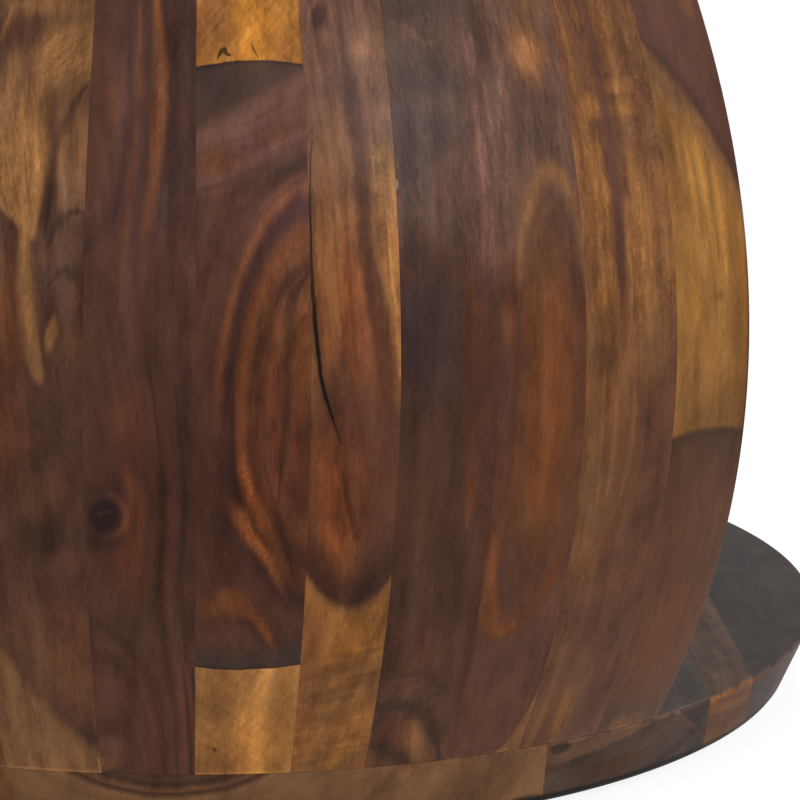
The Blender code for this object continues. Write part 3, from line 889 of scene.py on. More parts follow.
def streaked_with_crack(board):
    """Orange and tan streaks with a golden right edge, a drying crack at the left, and a golden foot."""
    board.grain = board.lines(lean=-0.05, bow=-0.0002)
    board.lay("tan", pitch=6.0, contrast=1.1)
    # The top gets rose heartwood and a paler, bluer lift: the lift is partly a painted sheen of the lamp's
    # reflection.
    top = board.above([(-18, 84), (0, 88), (18, 84)], 18.0)
    board.lay("rose", top * 0.75, pitch=6.0, contrast=1.2)
    board.tint(top, (1.40, 1.52, 1.70))
    board.patch("amber", (-4, 30), (11, 42), 0.75, contrast=1.3)
    board.line((1.35, 1.2, 1.05), [(-6, 76), (-5, 50), (-2, 20)], 5.0, board.mottle.scaled(0.6, 0.4))
    board.patch("tan", (-8, 92), (6, 22), 0.5, contrast=1.2)
    board.patch("honey", (-9, 50), (3.4, 30), 0.45)
    board.line(0.72, [(-3, 84), (-3, 60), (-1.5, 36), (0, 12)], 1.6, 0.8)
    board.line(0.72, [(-8, 80), (-7.5, 56), (-6, 34), (-4, 14)], 1.4, 0.8)
    board.line((1.3, 1.25, 1.2), [(-14, 78), (-14.6, 56), (-13.6, 34), (-11, 12)], 2.6, 0.8)
    shade = [
        (-1.6, 156), (-0.5, 138), (1, 124), (3.3, 114), (4.5, 104), (5, 90), (4.6, 76), (3.8, 64), (4.5, 50),
        (7.3, 28), (10.5, 4),
    ]
    board.line((0.62, 0.62, 0.66), shade, 6.6)
    board.spot((1.2, 1.1, 1.05), (0, 58), (4, 16), 0.8)
    board.streak("russet", [(6, 58), (9, 34), (11.5, 8), (13, -24)], 11.0, 0.8, pitch=5.0)
    pale = board.right_of([(7.4, 112), (9.4, 66), (15.8, 16)], 1.6)
    pale = pale * board.above([(-18, 10), (0, 10), (18, 4)], 10.0)
    board.lay("tan", pale * 0.6, pitch=4.0, contrast=1.3)
    # The upper part of the pale band is lifted bluer: painted sheen.
    board.tint(pale * board.above([(-18, 98), (0, 98), (18, 98)], 8.0), (1.15, 1.25, 1.45))
    under = board.below([(-18, 104), (0, 102), (18, 96)], 9.0)
    board.lay("honey", pale * under * 0.5, pitch=3.0, contrast=1.4)
    board.tint(pale * under * board.mottle, (1.22, 1.22, 1.2))
    board.line((1.5, 1.5, 1.6), [(7.5, 114), (8.2, 104), (8.6, 94), (9, 84)], 1.4, board.mottle)
    board.line((1.35, 1.3, 1.2), [(15.4, 96), (16, 84), (16.6, 70)], 2.6, 0.9)
    board.line(0.74, [(12, 84), (12.6, 62), (14, 40)], 1.0, 0.9)
    board.line((1.4, 1.35, 1.2), [(13.4, 70), (14.4, 52), (16, 34)], 1.3, 0.9)
    board.spot((0.45, 0.44, 0.50), (-9, 146), (2.8, 5), 1.0, -25, 0.5)
    board.line((1.5, 1.4, 1.3), [(-14, 140), (-12.6, 148), (-9.6, 152), (-6.6, 149)], 1.8, 0.7)
    board.spot((1.45, 1.34, 1.28), (-10, 131), (7, 4), board.mottle, -30)
    board.spot((0.72, 0.70, 0.72), (-6, 118), (8, 5), 0.7, 10)
    board.spot((1.4, 1.3, 1.2), (6, 134), (4, 3), board.mottle, 30)
    board.tint(board.below([(-18, 80), (0, 80), (18, 80)], 20.0), (1.08, 0.99, 0.99))
    board.lay("russet", board.below([(-18, 2), (0, 12), (18, -4)], 16.0) * 0.9, pitch=6.0, contrast=1.1)
    board.spot((1.25, 1.08, 1.0), (9, -8), (9, 36), 0.8)
    board.lay("umber", board.right_of([(3, 0), (6, -40), (4, -70)], 6.0) *
              board.below([(-18, 0), (0, 0), (18, -6)], 12.0) * 0.55)
    board.patch("amber", (-8, -42), (10, 36), 1.0, 8, contrast=1.2)
    board.spot((0.92, 0.82, 0.82), (0, -36), (18, 34))
    board.line((1.4, 1.3, 1.15), [(-15, -12), (-12, -34), (-8, -54), (-3, -66)], 6.0,
               board.mottle.scaled(0.5, 0.4))
    board.line((1.4, 1.32, 1.2), [(-9, -22), (-5, -40), (0, -58)], 2.4, 0.7)
    board.line(0.66, [(-6, -26), (-1, -44), (3, -62)], 2.4, 0.8)
    board.spot((1.5, 1.4, 1.2), (-6, -60), (7, 11), 0.7, 30)
    crack = [
        (-15.2, 100), (-16.7, 82), (-17.5, 63), (-17.2, 51), (-17, 40), (-15.7, 24), (-14.5, 12), (-12, 0.5),
        (-8.7, -9.5), (-5.5, -18),
    ]
    board.line(0.58, crack, 5.0, 0.7)
    board.line(0.22, crack, 1.4, 1.0, 0.6)
    board.line(0.25, crack[4:9], 1.8, 1.0, 0.6)
    bowl = [(-17, -74), (3, -89), (17, -77)]
    inside = board.above(bowl, 3.6) * board.below([(-18, -54), (2, -70), (18, -56)], 12.0)
    board.tint(inside, (0.54, 0.54, 0.58))
    foot = board.below(bowl, 4.6)
    board.lay("honey", foot, pitch=9.0, contrast=1.0, grain=board.lines(lean=0.3))
    board.tint(foot, (0.84, 0.76, 0.62))
    board.spot((0.66, 0.60, 0.60), (-15, -95), (7, 18), 0.8)
    board.lay("tan", board.below([(-18, -112), (0, -114), (18, -106)], 8.0) * 0.35, pitch=9.0)
    board.strokes(board.below([(-18, -104), (0, -106), (18, -100)], 6.0), -78, 0.24, 2.6)
    for points in (
        [(-17, -120), (-5, -117), (6, -112), (17, -106)], [(-17, -131), (-4, -128), (8, -122), (17, -117)],
        [(-17, -142), (0, -138), (17, -132)],
    ):
        board.line(0.70, points, 6.0, board.mottle.scaled(0.7, 0.2))
    board.spot((1.25, 1.2, 1.1), (4, -100), (7, 9), 0.7)
    board.tint(board.below([(-18, -132), (0, -134), (18, -128)], 10.0), (1.2, 1.2, 1.1))
    board.spot((1.3, 1.28, 1.15), (8, -152), (10, 14), 0.8)
    board.spot((1.3, 1.25, 1.1), (-10, -148), (6, 10), 0.6)
    board.clouds(
        ((0.72, 0.73, 0.76), (-6, 150), (15, 14)), ((0.82, 0.90, 0.95), (0, 126), (6, 12)),
        ((1.24, 1.40, 1.54), (0, 66), (6, 15)), ((1.07, 1.18, 1.36), (14, 90), (6, 20)),
        ((0.72, 0.75, 0.76), (13, 24), (7, 32)), ((0.84, 0.82, 0.88), (0, 24), (6, 14)),
        ((0.88, 0.86, 0.80), (13, -38), (6, 26)), ((1.24, 1.34, 1.34), (0, -68), (7, 16)),
        ((0.84, 0.79, 0.90), (-15, -108), (6, 28)), ((1.24, 1.18, 1.05), (0, -112), (6, 16)),
    )


def slate_with_swirl(board):
    """Grey and brown clouds above under a painted grey-blue sheen, dark brown below, and a swirl of growth
    rings at the foot.
    """
    board.grain = board.lines(lean=0.02, bow=0.0002)
    board.lay("umber", pitch=9.0, contrast=1.0)
    # Above, rose heartwood is laid and tinted paler and bluer: the tint is partly a painted sheen of the
    # lamp's reflection.
    cloud = board.above([(-21, 56), (0, 60), (21, 44)], 14.0)
    board.lay("rose", cloud * 0.8, pitch=8.0, contrast=1.1)
    board.tint(cloud, (1.04, 1.22, 1.42))
    for at, size, tilt in (
        ((-13, 105), (8, 11), 20), ((-15, 84), (6, 10), 0), ((-2, 122), (12, 5), -12), ((6, 66), (5, 12), 0),
        ((-6, 150), (14, 5), 0), ((2, 104), (6, 7), 0), ((10, 122), (4, 14), 0),
    ):
        board.patch("slate", at, size, 0.45, tilt, 1.0, contrast=0.9)
    board.spot((0.84, 0.92, 0.96), (-12, 104), (16, 44), 0.9)
    board.spot((1.24, 1.16, 1.08), (14, 92), (8, 56), 0.9)
    board.strokes(cloud, 16, 0.24, 1.2)
    board.strokes(cloud * board.mottle, 62, 0.16, 1.2)
    board.patch("slate", (-9, 26), (13, 22), 0.7, contrast=0.8)
    board.tint(board.oval((-8, 22), (16, 30), 0, 0.8), (1.00, 0.92, 1.12))
    board.spot((1.3, 1.2, 1.15), (13, 56), (6, 16), 0.8)
    band = [(16.5, 142), (17.8, 132), (18, 122), (18.6, 112), (18.2, 102), (18.6, 92), (18.4, 74), (18, 50)]
    board.line((1.34, 1.34, 1.32), band, 9.0, board.mottle.scaled(0.5, 0.4), 1.0)
    board.line((1.4, 1.36, 1.30), [(14, 142), (15.6, 112), (16.4, 80), (15, 50)], 2.6,
               board.mottle.scaled(0.6, 0.4))
    board.line((1.25, 1.24, 1.20), [(10, 144), (11, 116), (11.5, 90), (10, 60)], 3.0,
               board.mottle.scaled(0.6, 0.2), 1.0)
    board.patch("rose", (1, 82), (5, 14), 0.7, -8, contrast=1.3)
    board.line((1.5, 1.45, 1.4), [(-20, 144), (-10, 142), (-2, 136), (8, 138)], 3.0, board.mottle)
    board.line((1.35, 1.3, 1.35), [(-12, 94), (-6, 100), (2, 100), (8, 96)], 3.0, board.mottle)
    board.tint(board.oval((-20, 83), (1.2, 2.0), 0, 0.4), (3.0, 3.0, 3.0))
    board.streak("amber", [(8, 46), (12, 20), (13, -20), (10, -56)], 11.0, 0.55, pitch=6.0)
    board.lay("russet", board.right_of([(10, 40), (12, -20), (14, -110)], 6.0) *
              board.below([(-20, 34), (0, 34), (20, 34)], 12.0) * 0.7)
    board.spot(0.66, (6, -84), (9, 22), 0.6)
    board.spot((1.05, 1.10, 0.95), (-6, -40), (12, 26), 0.7)
    board.streak("russet", [(-2, -78), (-3, -96), (0, -112)], 6.0, 0.7)
    swirl = board.ovals((-8, -184), 1.12)
    whorl = board.below([(-21, -118), (0, -120), (21, -144)], 9.0)
    board.lay("umber", whorl * 0.8, pitch=8.0, contrast=1.6, grain=swirl)
    board.tint(whorl, (1.2, 1.2, 1.15))
    board.tint(board.ring(swirl, 57.0, 3.4, 1.0) * whorl * board.mottle.scaled(0.6, 0.2), 0.60)
    board.tint(board.ring(swirl, 61.4, 3.4, 1.0) * whorl * board.mottle * 0.6, (1.25, 1.15, 1.05))
    board.patch("russet", (-12, -147), (9, 7), 0.6)
    board.patch("tan", (2.4, -154), (4.2, 10), 0.9, 18, contrast=1.3)
    board.patch("tan", (8, -163), (5, 4), 0.8, 20, contrast=1.3)
    board.patch("tan", (-16, -165), (8, 4), 0.7, contrast=1.3)
    arch = [(-26, -134), (-17, -135), (-9.5, -136), (-0.4, -138.6), (5.6, -146), (10.6, -154), (15, -166)]
    board.line((0.58, 0.61, 0.70), arch, 7.0, 0.9, 0.8)
    lower_arch = [(-26, -153), (-18, -154.4), (-10.5, -157), (-5, -161), (-1, -172)]
    board.line((0.64, 0.64, 0.68), lower_arch, 4.0, 0.85)
    board.line((1.5, 1.45, 1.35), [(10, -146), (13, -156), (17, -164)], 2.4, board.mottle)
    board.spot((1.28, 1.20, 1.08), (-19.5, -58), (4, 42), 0.8)
    board.spot((1.34, 1.24, 1.04), (19.5, -68), (4, 19), 0.8)
    board.clouds(
        ((1.26, 1.26, 1.24), (-15, 68), (9, 28)), ((1.28, 1.32, 1.36), (14, 44), (9, 16)),
        ((0.79, 0.80, 0.85), (8, -6), (15, 22)), ((0.88, 0.82, 0.83), (0, -54), (11, 34)),
        ((1.18, 1.10, 1.06), (-4, -110), (22, 14)), ((1.16, 1.08, 1.0), (0, -158), (24, 12)),
        ((0.84, 0.88, 1.0), (12, 150), (14, 12)), ((1.12, 1.10, 1.18), (-10, 100), (14, 20)),
        ((1.40, 1.34, 1.18), (-7, -149), (7, 9)), ((0.88, 0.90, 0.92), (9, -157), (6, 8)),
    )


def amber_ovals(board):
    """Closed ovals with an orange glow in the middle, under pale feathery strokes."""
    oval = board.grain = board.ovals((1, -16), 4.8)
    board.lay("russet", pitch=8.0, contrast=1.0)
    # The head gets rose heartwood and a greener, bluer lift: the lift is partly a painted sheen.
    head = board.above([(-20, 46), (4, 72), (20, 50)], 14.0)
    board.lay("rose", head * 0.9, pitch=7.0, contrast=1.1, grain=board.lines(lean=0.04))
    board.tint(head, (0.98, 1.14, 1.20))
    board.spot((0.80, 0.82, 0.80), (6, 106), (9, 12), 0.6)
    board.patch("tan", (5, 132), (7, 12), 0.8, contrast=1.3)
    board.patch("honey", (4, 130), (6, 7), 0.3, contrast=1.3)
    board.spot((1.10, 0.98, 0.98), (4, 130), (10, 12))
    board.patch("tan", (8, 150), (8, 5), 0.6, contrast=1.3)
    board.spot((0.66, 0.62, 0.70), (-14, 134), (3, 14), 0.8)
    feather = board.above([(-20, 64), (0, 86), (20, 70)], 8.0)
    board.strokes(feather, 8, 0.28, 1.2)
    board.tint(feather, (1.06, 1.10, 1.16))
    board.line((1.5, 1.45, 1.4), [(-9, 146), (-9.5, 130), (-9.8, 122), (-12, 110), (-13.5, 100)], 3.0,
               board.mottle)
    board.line((1.5, 1.36, 1.3), [(-9.4, 110), (-9.6, 100), (-11, 88), (-13, 76)], 3.6, board.mottle)
    board.line((1.35, 1.3, 1.25), [(-17, 120), (-16.6, 100), (-17, 84)], 3.0, board.mottle)
    board.spot((0.70, 0.72, 0.70), (5, 58), (8, 14), 0.8)
    arch = [(-10.6, 34), (-9, 55), (-5.6, 68), (-1, 78), (5, 85), (11, 84), (16, 75), (19, 60), (20.4, 36)]
    board.streak("tan", arch, 7.6, 0.65)
    board.line((1.35, 1.32, 1.22), arch, 6.0, board.mottle.scaled(0.5, 0.4), 1.0)
    board.line((1.3, 1.25, 1.15), [(-4, 50), (-1, 63), (4, 72), (9, 71), (13, 58)], 2.6,
               board.mottle.scaled(0.5, 0.4))
    board.spot((0.62, 0.60, 0.68), (-11, 38), (7, 6), 0.8)
    board.patch("amber", (-15, 28), (2.6, 10), 0.6)
    board.lay("amber", board.oval((2, -4), (13, 60), 0, 0.7) * 0.9, contrast=1.0,
              grain=board.lines(lean=0.01))
    board.spot((1.10, 1.10, 0.96), (1, -38), (5, 24), 0.7)
    board.spot((0.88, 0.86, 0.84), (2, -30), (12, 30), 0.8)
    board.line((0.66, 0.68, 0.70), [(14, 60), (16, 20), (15, -20)], 7.0, 0.6)
    board.spot((0.80, 0.78, 0.80), (9, -52), (8, 16), 0.7)
    board.line((0.66, 0.60, 0.62), [(-10, 46), (-12, 10), (-13, -40)], 6.0, 0.6)
    board.spot((0.60, 0.62, 0.60), (-1, -75), (9, 16), 0.8)
    rim = [
        (-16.8, -42), (-16.8, -58), (-16.6, -70), (-16.2, -82), (-15.2, -92), (-12, -101), (-6.5, -105),
        (-1, -101.5), (4.5, -95), (9.5, -87), (13.4, -78), (17, -66),
    ]
    board.line((0.70, 0.70, 0.74), [(-12.4, -52), (-12.6, -70), (-11.8, -86), (-8, -96)], 5.0, 0.8)
    board.streak("amber", rim, 7.6, 0.9, 0.8)
    board.line((1.3, 1.3, 1.16), rim[1:8], 6.4, board.mottle.scaled(0.4, 0.5), 1.0)
    under = board.below([(-20, -104), (-4, -112), (20, -78)], 7.0)
    board.lay("rose", under * 0.75, pitch=9.0, contrast=0.9, grain=board.lines())
    board.tint(under, (0.80, 0.76, 0.74))
    corner = board.right_of([(18.4, -116), (16.8, -142), (7.5, -165)], 1.2)
    board.lay("tan", corner * board.below([(-20, -120), (0, -120), (20, -120)], 8.0) * 0.95, pitch=6.0)
    board.tint(corner, (1.06, 1.06, 1.0))
    board.line(0.62, [(18.4, -108), (17.4, -130), (16, -144), (13, -157), (6.5, -164), (-2, -168)], 3.0, 0.7)
    board.clouds(
        ((1.14, 1.32, 1.54), (1, 54), (13, 19)), ((0.85, 0.90, 1.05), (-14, 12), (7, 28)),
        ((0.87, 0.85, 0.83), (12, -62), (11, 50)), ((0.90, 0.87, 0.84), (-14, -56), (7, 26)),
        ((0.82, 0.78, 0.80), (14, 140), (7, 24)), ((0.86, 0.86, 0.86), (0, -113), (24, 10)),
        ((1.12, 1.02, 0.90), (0, -152), (24, 18)), ((1.15, 1.14, 1.14), (-12, 126), (6, 14)),
    )
    board.tint(board.right_of([(14.6, 160), (15.0, 110), (15.4, 60)], 1.8) *
               board.above([(-20, 56), (0, 56), (20, 56)], 9.0), (0.77, 0.76, 0.80))
    board.spot((0.80, 0.80, 0.86), (-18.5, -8), (5, 24), 0.8)
    board.rubbed_foot((1.5, 1.45, 1.35), board.mottle)


def tan_streaks(board):
    """Tan and honey streaks with curl, browner in the lower half."""
    board.grain = board.lines(lean=0.01)
    board.lay("tan", pitch=5.0, contrast=1.2)
    head = board.above([(-23, 98), (0, 92), (23, 84)], 6.0)
    board.lay("rose", head * 0.75, pitch=6.0, contrast=1.2)
    for points, width, share in (
        ([(-17, 152), (-16, 120), (-15, 96), (-14, 70), (-14, 40)], 4.6, 0.7),
        ([(3, 154), (4, 140), (4, 124)], 8.0, 0.7),
        ([(-10, 100), (-9.5, 70), (-10, 40)], 3.6, 0.7), ([(-9, 152), (-9, 138)], 3.0, 0.5),
        ([(5, 92), (7, 70), (6, 44)], 5.0, 0.8), ([(10, 88), (10.5, 64), (10, 40)], 2.0, 0.7),
        ([(20, 88), (19, 60), (19, 30)], 3.0, 0.5),
    ):
        board.streak("honey", points, width, board.mottle.scaled(0.5 * share, 0.5 * share), contrast=1.3)
    for at, size in (((-11, 109), (4, 4)), ((4, 107.4), (9, 3.4)), ((5, 116), (7, 3)), ((-13, 36), (4, 6))):
        board.patch("honey", at, size, 0.7, contrast=1.3)
    for along in (103.5, 112.0, 120.0):
        board.line(0.70, [(-6, along - 0.6), (4, along + 0.8), (14, along - 0.4)], 2.2,
                   board.mottle.scaled(0.6, 0.3))
    upper = board.above([(-23, 24), (0, 20), (23, 28)], 10.0)
    board.strokes(upper, 2, 0.22, 1.0)
    board.strokes(upper * board.mottle, 86, 0.16, 1.1)
    board.tint(upper, (1.00, 0.94, 0.82))
    board.lay("honey", board.right_of([(4, 90), (5, 50), (4, 0)], 4.0) * upper *
              board.mottle.scaled(0.3, 0.1))
    gap = [(-5, 160), (-4.5, 120), (-4, 96), (-4.5, 70), (-5, 50), (-5, 34)]
    board.streak("rose", gap, 7.0, 0.9, 0.6, contrast=0.8)
    board.spot((0.60, 0.58, 0.62), (-4.6, 44), (3.2, 27), 0.9, 0, 0.45)
    board.line((0.66, 0.62, 0.64), [(14.5, 84), (14.5, 50), (15, 14)], 3.6, 0.7)
    board.line((0.70, 0.66, 0.66), [(0.6, 60), (1, 40), (0, 20)], 1.4, 0.7)
    fall = board.below([(-23, -44), (0, -12), (23, 18)], 26.0)
    board.lay("rose", fall * 0.9, pitch=9.0, contrast=0.9)
    board.tint(fall, (0.92, 0.88, 0.76))
    board.streak("tan", [(-20, -10), (-18, -90), (-16, -168)], 16.0, 0.5, pitch=5.0)
    board.spot((0.80, 0.72, 0.76), (-22, -24), (5, 30), 0.8)
    board.spot((0.84, 0.80, 0.80), (22, 84), (4.5, 44), 0.8)
    for points, width, share in (
        ([(-14, 10), (-14, -26), (-13, -56)], 2.4, 0.6), ([(-8, 8), (-8, -26), (-9, -56)], 2.6, 0.7),
        ([(2, 8), (1, -28), (-2, -56)], 3.2, 0.6),
    ):
        board.streak("tan", points, width, board.mottle.scaled(0.6 * share, 0.4 * share))
        board.line((1.3, 1.3, 1.25), points, width * 0.7, share)
    board.streak("tan", [(-8, -80), (-4, -112), (-3, -134), (-2, -152), (-1, -182)], 9.0,
                 board.below([(-23, -122), (0, -124), (23, -126)], 18.0) * 0.8, 1.0)
    board.clouds(
        ((0.78, 0.78, 0.88), (16, 88), (9, 54)), ((1.22, 1.24, 1.20), (0, 148), (7, 12)),
        ((1.10, 1.15, 1.20), (0, 102), (7, 24)), ((0.86, 0.78, 0.69), (-8, -6), (18, 26)),
        ((1.20, 1.20, 1.02), (0, -52), (8, 18)), ((1.15, 1.10, 0.96), (-15, -74), (7, 14)),
        ((0.83, 0.84, 0.88), (8, -114), (16, 16)), ((0.80, 0.78, 0.76), (16, -150), (8, 16)),
        ((1.30, 1.20, 1.0), (-12, -156), (10, 14)), ((1.26, 1.22, 1.05), (-4, -154), (5, 10)),
        ((0.94, 0.87, 0.80), (15, -146), (7, 14)), ((1.0, 0.95, 0.88), (14, -110), (10, 34)),
    )
    board.rubbed_foot((1.5, 1.45, 1.35), board.mottle)


def golden_with_shoulder(board):
    """Golden sapwood between a dark slanting shoulder and a dark lower half."""
    board.grain = board.lines()
    board.lay("rose", pitch=12.0, contrast=0.6)
    board.tint(1.0, (0.84, 0.84, 0.90))
    board.patch("tan", (12, 146), (4, 5), 0.4)
    board.lay("tan", board.below([(-20, 133), (0, 108), (19, 74)], 4.0) * 0.95, pitch=6.0, contrast=1.1)
    gold = board.below([(-21, 112), (0, 94), (20, 60)], 10.0)
    board.lay("honey", gold * 0.95, pitch=7.0, contrast=0.75)
    board.strokes(gold, 6, 0.08, 1.3)
    board.tint(gold, (0.96, 0.97, 0.74))
    for points, width in (
        ([(-17, 118), (-14, 102), (-12, 84)], 2.6), ([(-8, 92), (-7.5, 76), (-7, 56)], 2.6),
        ([(-2, 94), (-1, 76), (0, 52)], 3.0), ([(5, 86), (7, 64), (8, 34)], 3.6),
        ([(-14, 40), (-10, 30), (-12, 16)], 5.0),
    ):
        board.line((1.4, 1.36, 1.2), points, width, board.mottle.scaled(0.5, 0.5))
    board.line(0.66, [(2.4, 92), (3, 66), (4, 40)], 2.0, 0.7)
    board.line(0.70, [(-5, 96), (-4.4, 76), (-4, 50)], 1.6, 0.7)
    board.spot(0.62, (3, 29), (2.8, 2.2), 0.7, 20)
    board.spot((0.74, 0.72, 0.72), (14, 10), (6, 24), 0.6)
    board.spot((0.70, 0.66, 0.68), (4, -22), (24, 12), 0.8)
    board.spot((0.60, 0.56, 0.54), (-17, 84), (3.4, 22), 0.6, 4)
    shoulder = [(-19.5, 135), (-12, 124), (0.3, 110), (10.3, 93.5), (18.5, 77), (21, 70)]
    board.line((0.58, 0.58, 0.64), shoulder, 8.0, 0.8)
    border = [(-19.5, -27.5), (-4, -26.3), (21, -29.2)]
    lower = board.below(border, 1.4, crisp=True)
    board.lay("rose", lower, pitch=14.0, contrast=0.6)
    board.tint(lower, (0.86, 0.84, 0.65))
    board.strokes(lower, 3, 0.10, 1.6)
    for place in (-13, -4, 7, 13):
        board.line((1.16, 1.14, 1.08), [(place, -60), (place - 1, -110), (place - 2, -164)], 3.0,
                   board.mottle.scaled(0.6, 0.3))
    board.tint(lower * board.above([(-21, -50), (0, -46), (21, -56)], 24.0), (0.80, 0.84, 0.90))
    board.patch("russet", (-6, -96), (12, 34), 0.4, 20)
    board.tint(board.verge([(-19.5, -29), (-4, -28), (21, -31)], 4.0, crisp=True) * 0.5, 0.74)
    board.lay("tan", board.below([(-21, -160), (0, -160), (21, -158)], 3.0) * board.mottle * 0.6, pitch=5.0)
    board.rubbed_foot((1.7, 1.6, 1.45), board.mottle)
    board.tint(board.right_of([(11, 160), (12, 40), (12, -60)], 7.0) *
               board.above([(-22, -56), (0, -56), (22, -56)], 14.0), (0.84, 0.78, 0.70))
    board.clouds(
        ((1.26, 1.20, 1.03), (-12, -100), (11, 40)), ((1.20, 1.10, 0.94), (2, -116), (8, 26)),
        ((0.83, 0.84, 0.98), (-14, 112), (9, 26)), ((1.04, 1.06, 1.22), (-12, 70), (9, 22)),
        ((0.80, 0.80, 0.90), (5, -24), (12, 16)), ((0.86, 0.86, 0.86), (0, -160), (24, 8)),
        ((1.03, 0.90, 0.62), (6, -138), (24, 32)), ((0.80, 0.82, 0.78), (12, -84), (7, 15)),
    )
    # A dark line along the free right edge: painted edge shade.
    board.tint(board.right_of([(20.2, 150), (20.5, 0), (20.2, -150)], 0.7), 0.5)
    board.spot((0.56, 0.44, 0.30), (21.8, 14), (2.6, 52), 0.9, 0, 0.5)


STAVE_FIGURES = (
    amber_ovals, tan_streaks, striped_heart, golden_with_shoulder, sapwood_tongue, striped_heart,
    heart_between_sap, streaked_with_crack, slate_with_swirl, amber_ovals, tan_streaks, golden_with_shoulder,
)
REAR_FIGURES = (
    tan_streaks, amber_ovals, sapwood_tongue, slate_with_swirl, golden_with_shoulder, streaked_with_crack,
    striped_heart, tan_streaks, heart_between_sap, amber_ovals, slate_with_swirl, streaked_with_crack,
)
LIVELY_FIGURES = {sapwood_tongue: (5.0, 1.6), slate_with_swirl: (4.0, 1.4)}
CALM_FIGURE = (2.6, 1.1)


def stave_material(name, figure, seed, mirror, upend):
    """Draw one stave's figure on its own material."""
    board = Board(name + "_timber", seed)
    bow = (FORM.belly - FORM.joint) / FORM.reach ** 2 / MILLIMETRES
    girth = 0.5 / FORM.belly / MILLIMETRES
    depth = board.y - board.z * board.z * bow - board.x * board.x * girth
    across = (board.x + depth * INNER_DRIFT) * (-1.0 if mirror else 1.0)
    along = board.z * (-1.0 if upend else 1.0)
    wander, ruffle = LIVELY_FIGURES.get(figure, CALM_FIGURE)
    board.lay_out(across, along, depth, wander, ruffle)
    figure(board)
    return board.finish(*LACQUER)


# Figures of the planks, in millimetres across the disc, along it and below its face

RUBBED_DOWN = (0.4, 2.4)          # below the face, where the wear and painted highlight of the upper edge fade
RUBBED_IN = (2.5, 1.1)            # inward from that edge, where the wear and painted highlight begin
PANEL_CORNER = (201.0, 204.0)     # across the disc, where the panels' free edges stand
PANEL_SHOULDER = (120.0, 160.0)   # across the disc, where the panels' feet begin to show wear and a painted highlight
RIM_FOOT = (26.0, 28.6)           # below the face, where the rim is painted darker towards the floor as shade
RIM_DEPTH = (0.1, 0.5)            # below the face, where the rim begins
PITH_ACROSS = (-220.0, 220.0)     # where the pith of a plain plank may lie across the disc
PITH_ABOVE = (40.0, 110.0)        # and over its face


class Plank(Board):
    """A board of a disc: grain front to back round a pith, so that the rim shows end grain."""

    def __init__(self, name, seed, face):
        super().__init__(name, seed)
        self.below_face = self.z.scaled(-1.0, face * MILLIMETRES)
        self.lay_out(self.x, self.y, self.below_face, wander=2.0, ruffle=0.9)
        self.on_rim = self.below_face.smooth(*RIM_DEPTH)

    def growth(self, pith, tilt=0.0, bow=0.0, at=0.0):
        """Growth rings round a pith, with its place across and its height over the face.

        The pith tilts and bows away from the face along the plank, so that its rings arch over the face.
        """
        along = self.v - at
        depth = self.below_face + along.scaled(bow, tilt) * along
        return placed(self.tree, cathedral, self.u, depth, pith[0], -pith[1], 1.0)[0]

    def face_rim(self):
        """Draw what follows on the rim: across it and, downward, below the face."""
        self.q = self.below_face * -1.0 + self.blotch * 2.0
        self.crisp = self.q

    def worn_edges(self, edge, panel_above):
        """Pale wear with a painted highlight along the bare upper edge, and on the base a painted shade line
        along the rounded edge near the floor.
        """
        reach = (self.x * self.x + self.y * self.y).root()
        near_edge = reach.smooth(edge - RUBBED_IN[0], edge - RUBBED_IN[1])
        # The pale line along the upper edge is wear, and partly a painted highlight of the eased edge.
        rubbed = self.below_face.smooth(*RUBBED_DOWN, 1.0, 0.0) * near_edge
        if panel_above:
            rubbed = rubbed * (abs(self.x).smooth(*PANEL_CORNER) + abs(self.x).smooth(*PANEL_SHOULDER) * 0.7)
            # Painted shade: the rounded lower edge of the base is darkened almost to black, as the shadow
            # next to the floor.
            self.tint(self.below_face.smooth(*RIM_FOOT), (0.13, 0.13, 0.14))
        self.tint(rubbed * self.blotch.smooth(-0.14, 0.06), (1.8, 1.78, 1.70))


def eyed_plank(board):
    """Tan plank whose rim shows the lower part of a dark heart as an eye of growth rings."""
    rings = board.grain = board.growth((-12.0, 71.0))
    board.lay("tan", pitch=12.0, contrast=0.9)
    board.tint(1.0, (0.94, 1.04, 1.20))
    board.face_rim()
    eye = rings.smooth(80.5, 82.5, 1.0, 0.0)
    board.lay("umber", eye * 0.85, pitch=5.0, contrast=1.2)
    board.tint(eye, (1.2, 1.25, 1.3))
    board.tint(board.ring(rings, 81.6, 3.0, 0.9), 0.56)
    board.lay("tan", board.ring(rings, 79.0, 2.2) * eye * 0.45, pitch=3.0)
    board.tint(board.ring(rings, 75.5, 3.0) * eye, 0.66)
    board.patch("honey", (87, -5), (3.2, 4.0), 0.4, pitch=3.0)
    board.spot((0.75, 0.70, 0.68), (120, -12), (18, 9), 0.35, 8, 0.8)
    board.spot(0.30, (140, -31), (10, 5), soft=0.3)


